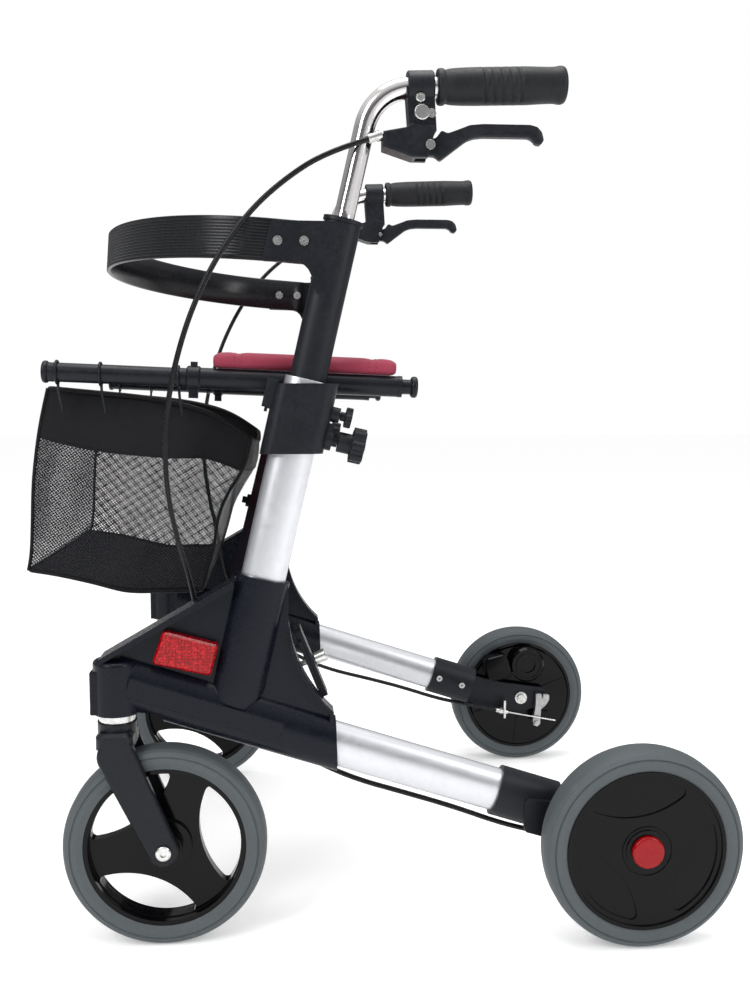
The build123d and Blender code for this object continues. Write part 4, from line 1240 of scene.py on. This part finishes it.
HOOK_PLACES = (0.572, 0.530, 0.454)
HOOK_WIRE = 0.0014
RAIL_FRONT = (0.200, 0.580, 0.5665)
HOOK_RADIUS = 0.0112


class WALKER_OT_basket_hooks(bpy.types.Operator):
    """Bends the wire hooks that hang the basket from its two rails"""

    bl_idname = "walker.basket_hooks"
    bl_label = "Basket hooks"

    def execute(self, context):
        x, front, z = RAIL_FRONT
        for side, sign in SIDES:
            wires = []
            for index, ahead in enumerate(HOOK_PLACES):
                drop = z - (front - ahead) * math.tan(RAIL_SLOPE)
                points = []
                for step in range(13):
                    angle = math.radians(-80 + 340 * step / 12)
                    out = HOOK_RADIUS * math.cos(angle)
                    points.append(at(sign * (x + out), ahead, drop + HOOK_RADIUS * math.sin(angle)))
                points.append(at(sign * (x - 0.006), ahead, drop - 0.020))
                points.append(at(sign * (x - 0.0125), ahead - 0.001, drop - 0.031))
                points.append(at(sign * (x - 0.0133), ahead - 0.002, drop - 0.038))
                wires.append(as_mesh(drawn_line(f"{side}_hook_{index}", points, HOOK_WIRE), "rail"))
            bm = bmesh.new()
            for wire in wires:
                bm.from_mesh(wire.data)
                bpy.data.objects.remove(wire)
            hooks = mesh_piece(f"{side}_hooks", bm, ["rail"])
            replaced = ("basket_hooks",) if side == "left" else ()
            fitted(hooks, f"{side}_rail", "dull_steel", *replaced)
        return {"FINISHED"}


# ---- stage --------------------------------------------------------------------------------
CAMERA_PLACE = (1.25769, 0.35122, 0.53010)
CAMERA_YAW = math.radians(5.024)
CAMERA_PITCH = math.radians(4.977)
CAMERA_LENS = 37.62


class WALKER_OT_stage(bpy.types.Operator):
    """Sets the floor, the studio lights and the camera"""

    bl_idname = "walker.stage"
    bl_label = "Stage"

    def execute(self, context):
        self.floor()
        self.lights()
        self.camera()
        return {"FINISHED"}

    def floor(self):
        bm = bmesh.new()
        bmesh.ops.create_grid(bm, x_segments=1, y_segments=1, size=20)
        floor = mesh_piece("floor", bm, [])
        material, _, surface = blank("studio_floor")
        constants(surface, Base_Color=(0.9, 0.9, 0.9, 1), Roughness=0.9)
        constants(surface, Emission_Color=(1, 1, 1, 1), Emission_Strength=0.27)
        floor.data.materials.append(material)

    def lights(self):
        world = bpy.data.worlds.new("studio")
        world.use_nodes = True
        tree = world.node_tree
        sky = tree.nodes["Background"]
        direction = tree.nodes.new("ShaderNodeTexCoord").outputs["Generated"]
        height = node(tree, "ShaderNodeSeparateXYZ", {"Vector": direction}).outputs["Z"]
        ramp = node(tree, "ShaderNodeValToRGB", {"Fac": ranged(tree, height, -1.0, 1.0)})
        stops = ramp.color_ramp.elements
        stops[0].position, stops[0].color = 0.40, (0.62, 0.63, 0.65, 1)
        stops[1].position, stops[1].color = 0.86, (1.25, 1.25, 1.25, 1)
        for position, level in ((0.5, 0.20), (0.60, 0.24), (0.70, 0.62)):
            stops.new(position).color = (level, level, 1.02 * level, 1)
        seen = tree.nodes.new("ShaderNodeLightPath").outputs["Is Camera Ray"]
        colour = mixed(tree, seen, ramp.outputs["Color"], (1.25, 1.25, 1.25, 1))
        tree.links.new(colour, sky.inputs["Color"])
        sky.inputs["Strength"].default_value = 0.8
        bpy.context.scene.world = world
        bpy.context.scene.view_settings.view_transform = "Standard"
        for name, place, aim, size, power in (
            ("key", (1.7, -1.5, 1.7), (0, -0.05, 0.45), (0.7, 1.5), 30),
            ("fill", (1.7, 1.7, 1.3), (0, 0.05, 0.4), (0.5, 1.6), 20),
            ("top", (0.1, 0.0, 2.4), (0, 0, 0.4), (1.4, 1.4), 30),
        ):
            light = bpy.data.lights.new(name, "AREA")
            light.shape = "RECTANGLE"
            light.size, light.size_y = size
            light.energy = power
            lamp = bpy.data.objects.new(name, light)
            lamp.location = place
            lamp.rotation_euler = (Vector(aim) - Vector(place)).to_track_quat("-Z", "Y").to_euler()
            bpy.context.scene.collection.objects.link(lamp)

    def camera(self):
        data = bpy.data.cameras.new("camera")
        data.lens = CAMERA_LENS
        camera = bpy.data.objects.new("camera", data)
        x, ahead, z = CAMERA_PLACE
        camera.location = at(x, ahead, z)
        aim = Vector((-math.cos(CAMERA_YAW), math.sin(CAMERA_YAW), -math.tan(CAMERA_PITCH)))
        camera.rotation_euler = aim.to_track_quat("-Z", "Y").to_euler()
        bpy.context.scene.collection.objects.link(camera)
        bpy.context.scene.camera = camera


# ---- panel and registration -----------------------------------------------------------------
PIECES = (
    WALKER_OT_stage,
    WALKER_OT_brake_cables,
    WALKER_OT_frame_finishes,
    WALKER_OT_grips,
    WALKER_OT_brake_levers,
    WALKER_OT_backrest_strap,
    WALKER_OT_seat,
    WALKER_OT_basket,
    WALKER_OT_basket_hooks,
)


class WALKER_PT_panel(bpy.types.Panel):
    """Lists the walker's sizes, colours and pieces"""

    bl_idname = "WALKER_PT_panel"
    bl_label = "Walker"
    bl_space_type = "VIEW_3D"
    bl_region_type = "UI"
    bl_category = "Walker"

    def draw(self, context):
        for group in (context.scene.walker_sizes, context.scene.walker_colours):
            column = self.layout.column()
            for key in group.__annotations__:
                column.prop(group, key)
        for piece in PIECES:
            self.layout.operator(piece.bl_idname)


CLASSES = (WalkerSizes, WalkerColours, *PIECES, WALKER_PT_panel)


def register():
    for kind in CLASSES:
        bpy.utils.register_class(kind)
    bpy.types.Scene.walker_sizes = PointerProperty(type=WalkerSizes)
    bpy.types.Scene.walker_colours = PointerProperty(type=WalkerColours)


def unregister():
    del bpy.types.Scene.walker_colours
    del bpy.types.Scene.walker_sizes
    for kind in reversed(CLASSES):
        bpy.utils.unregister_class(kind)


def main():
    register()
    for piece in PIECES:
        family, action = piece.bl_idname.split(".")
        getattr(getattr(bpy.ops, family), action)()


if __name__ == "__main__":
    main()
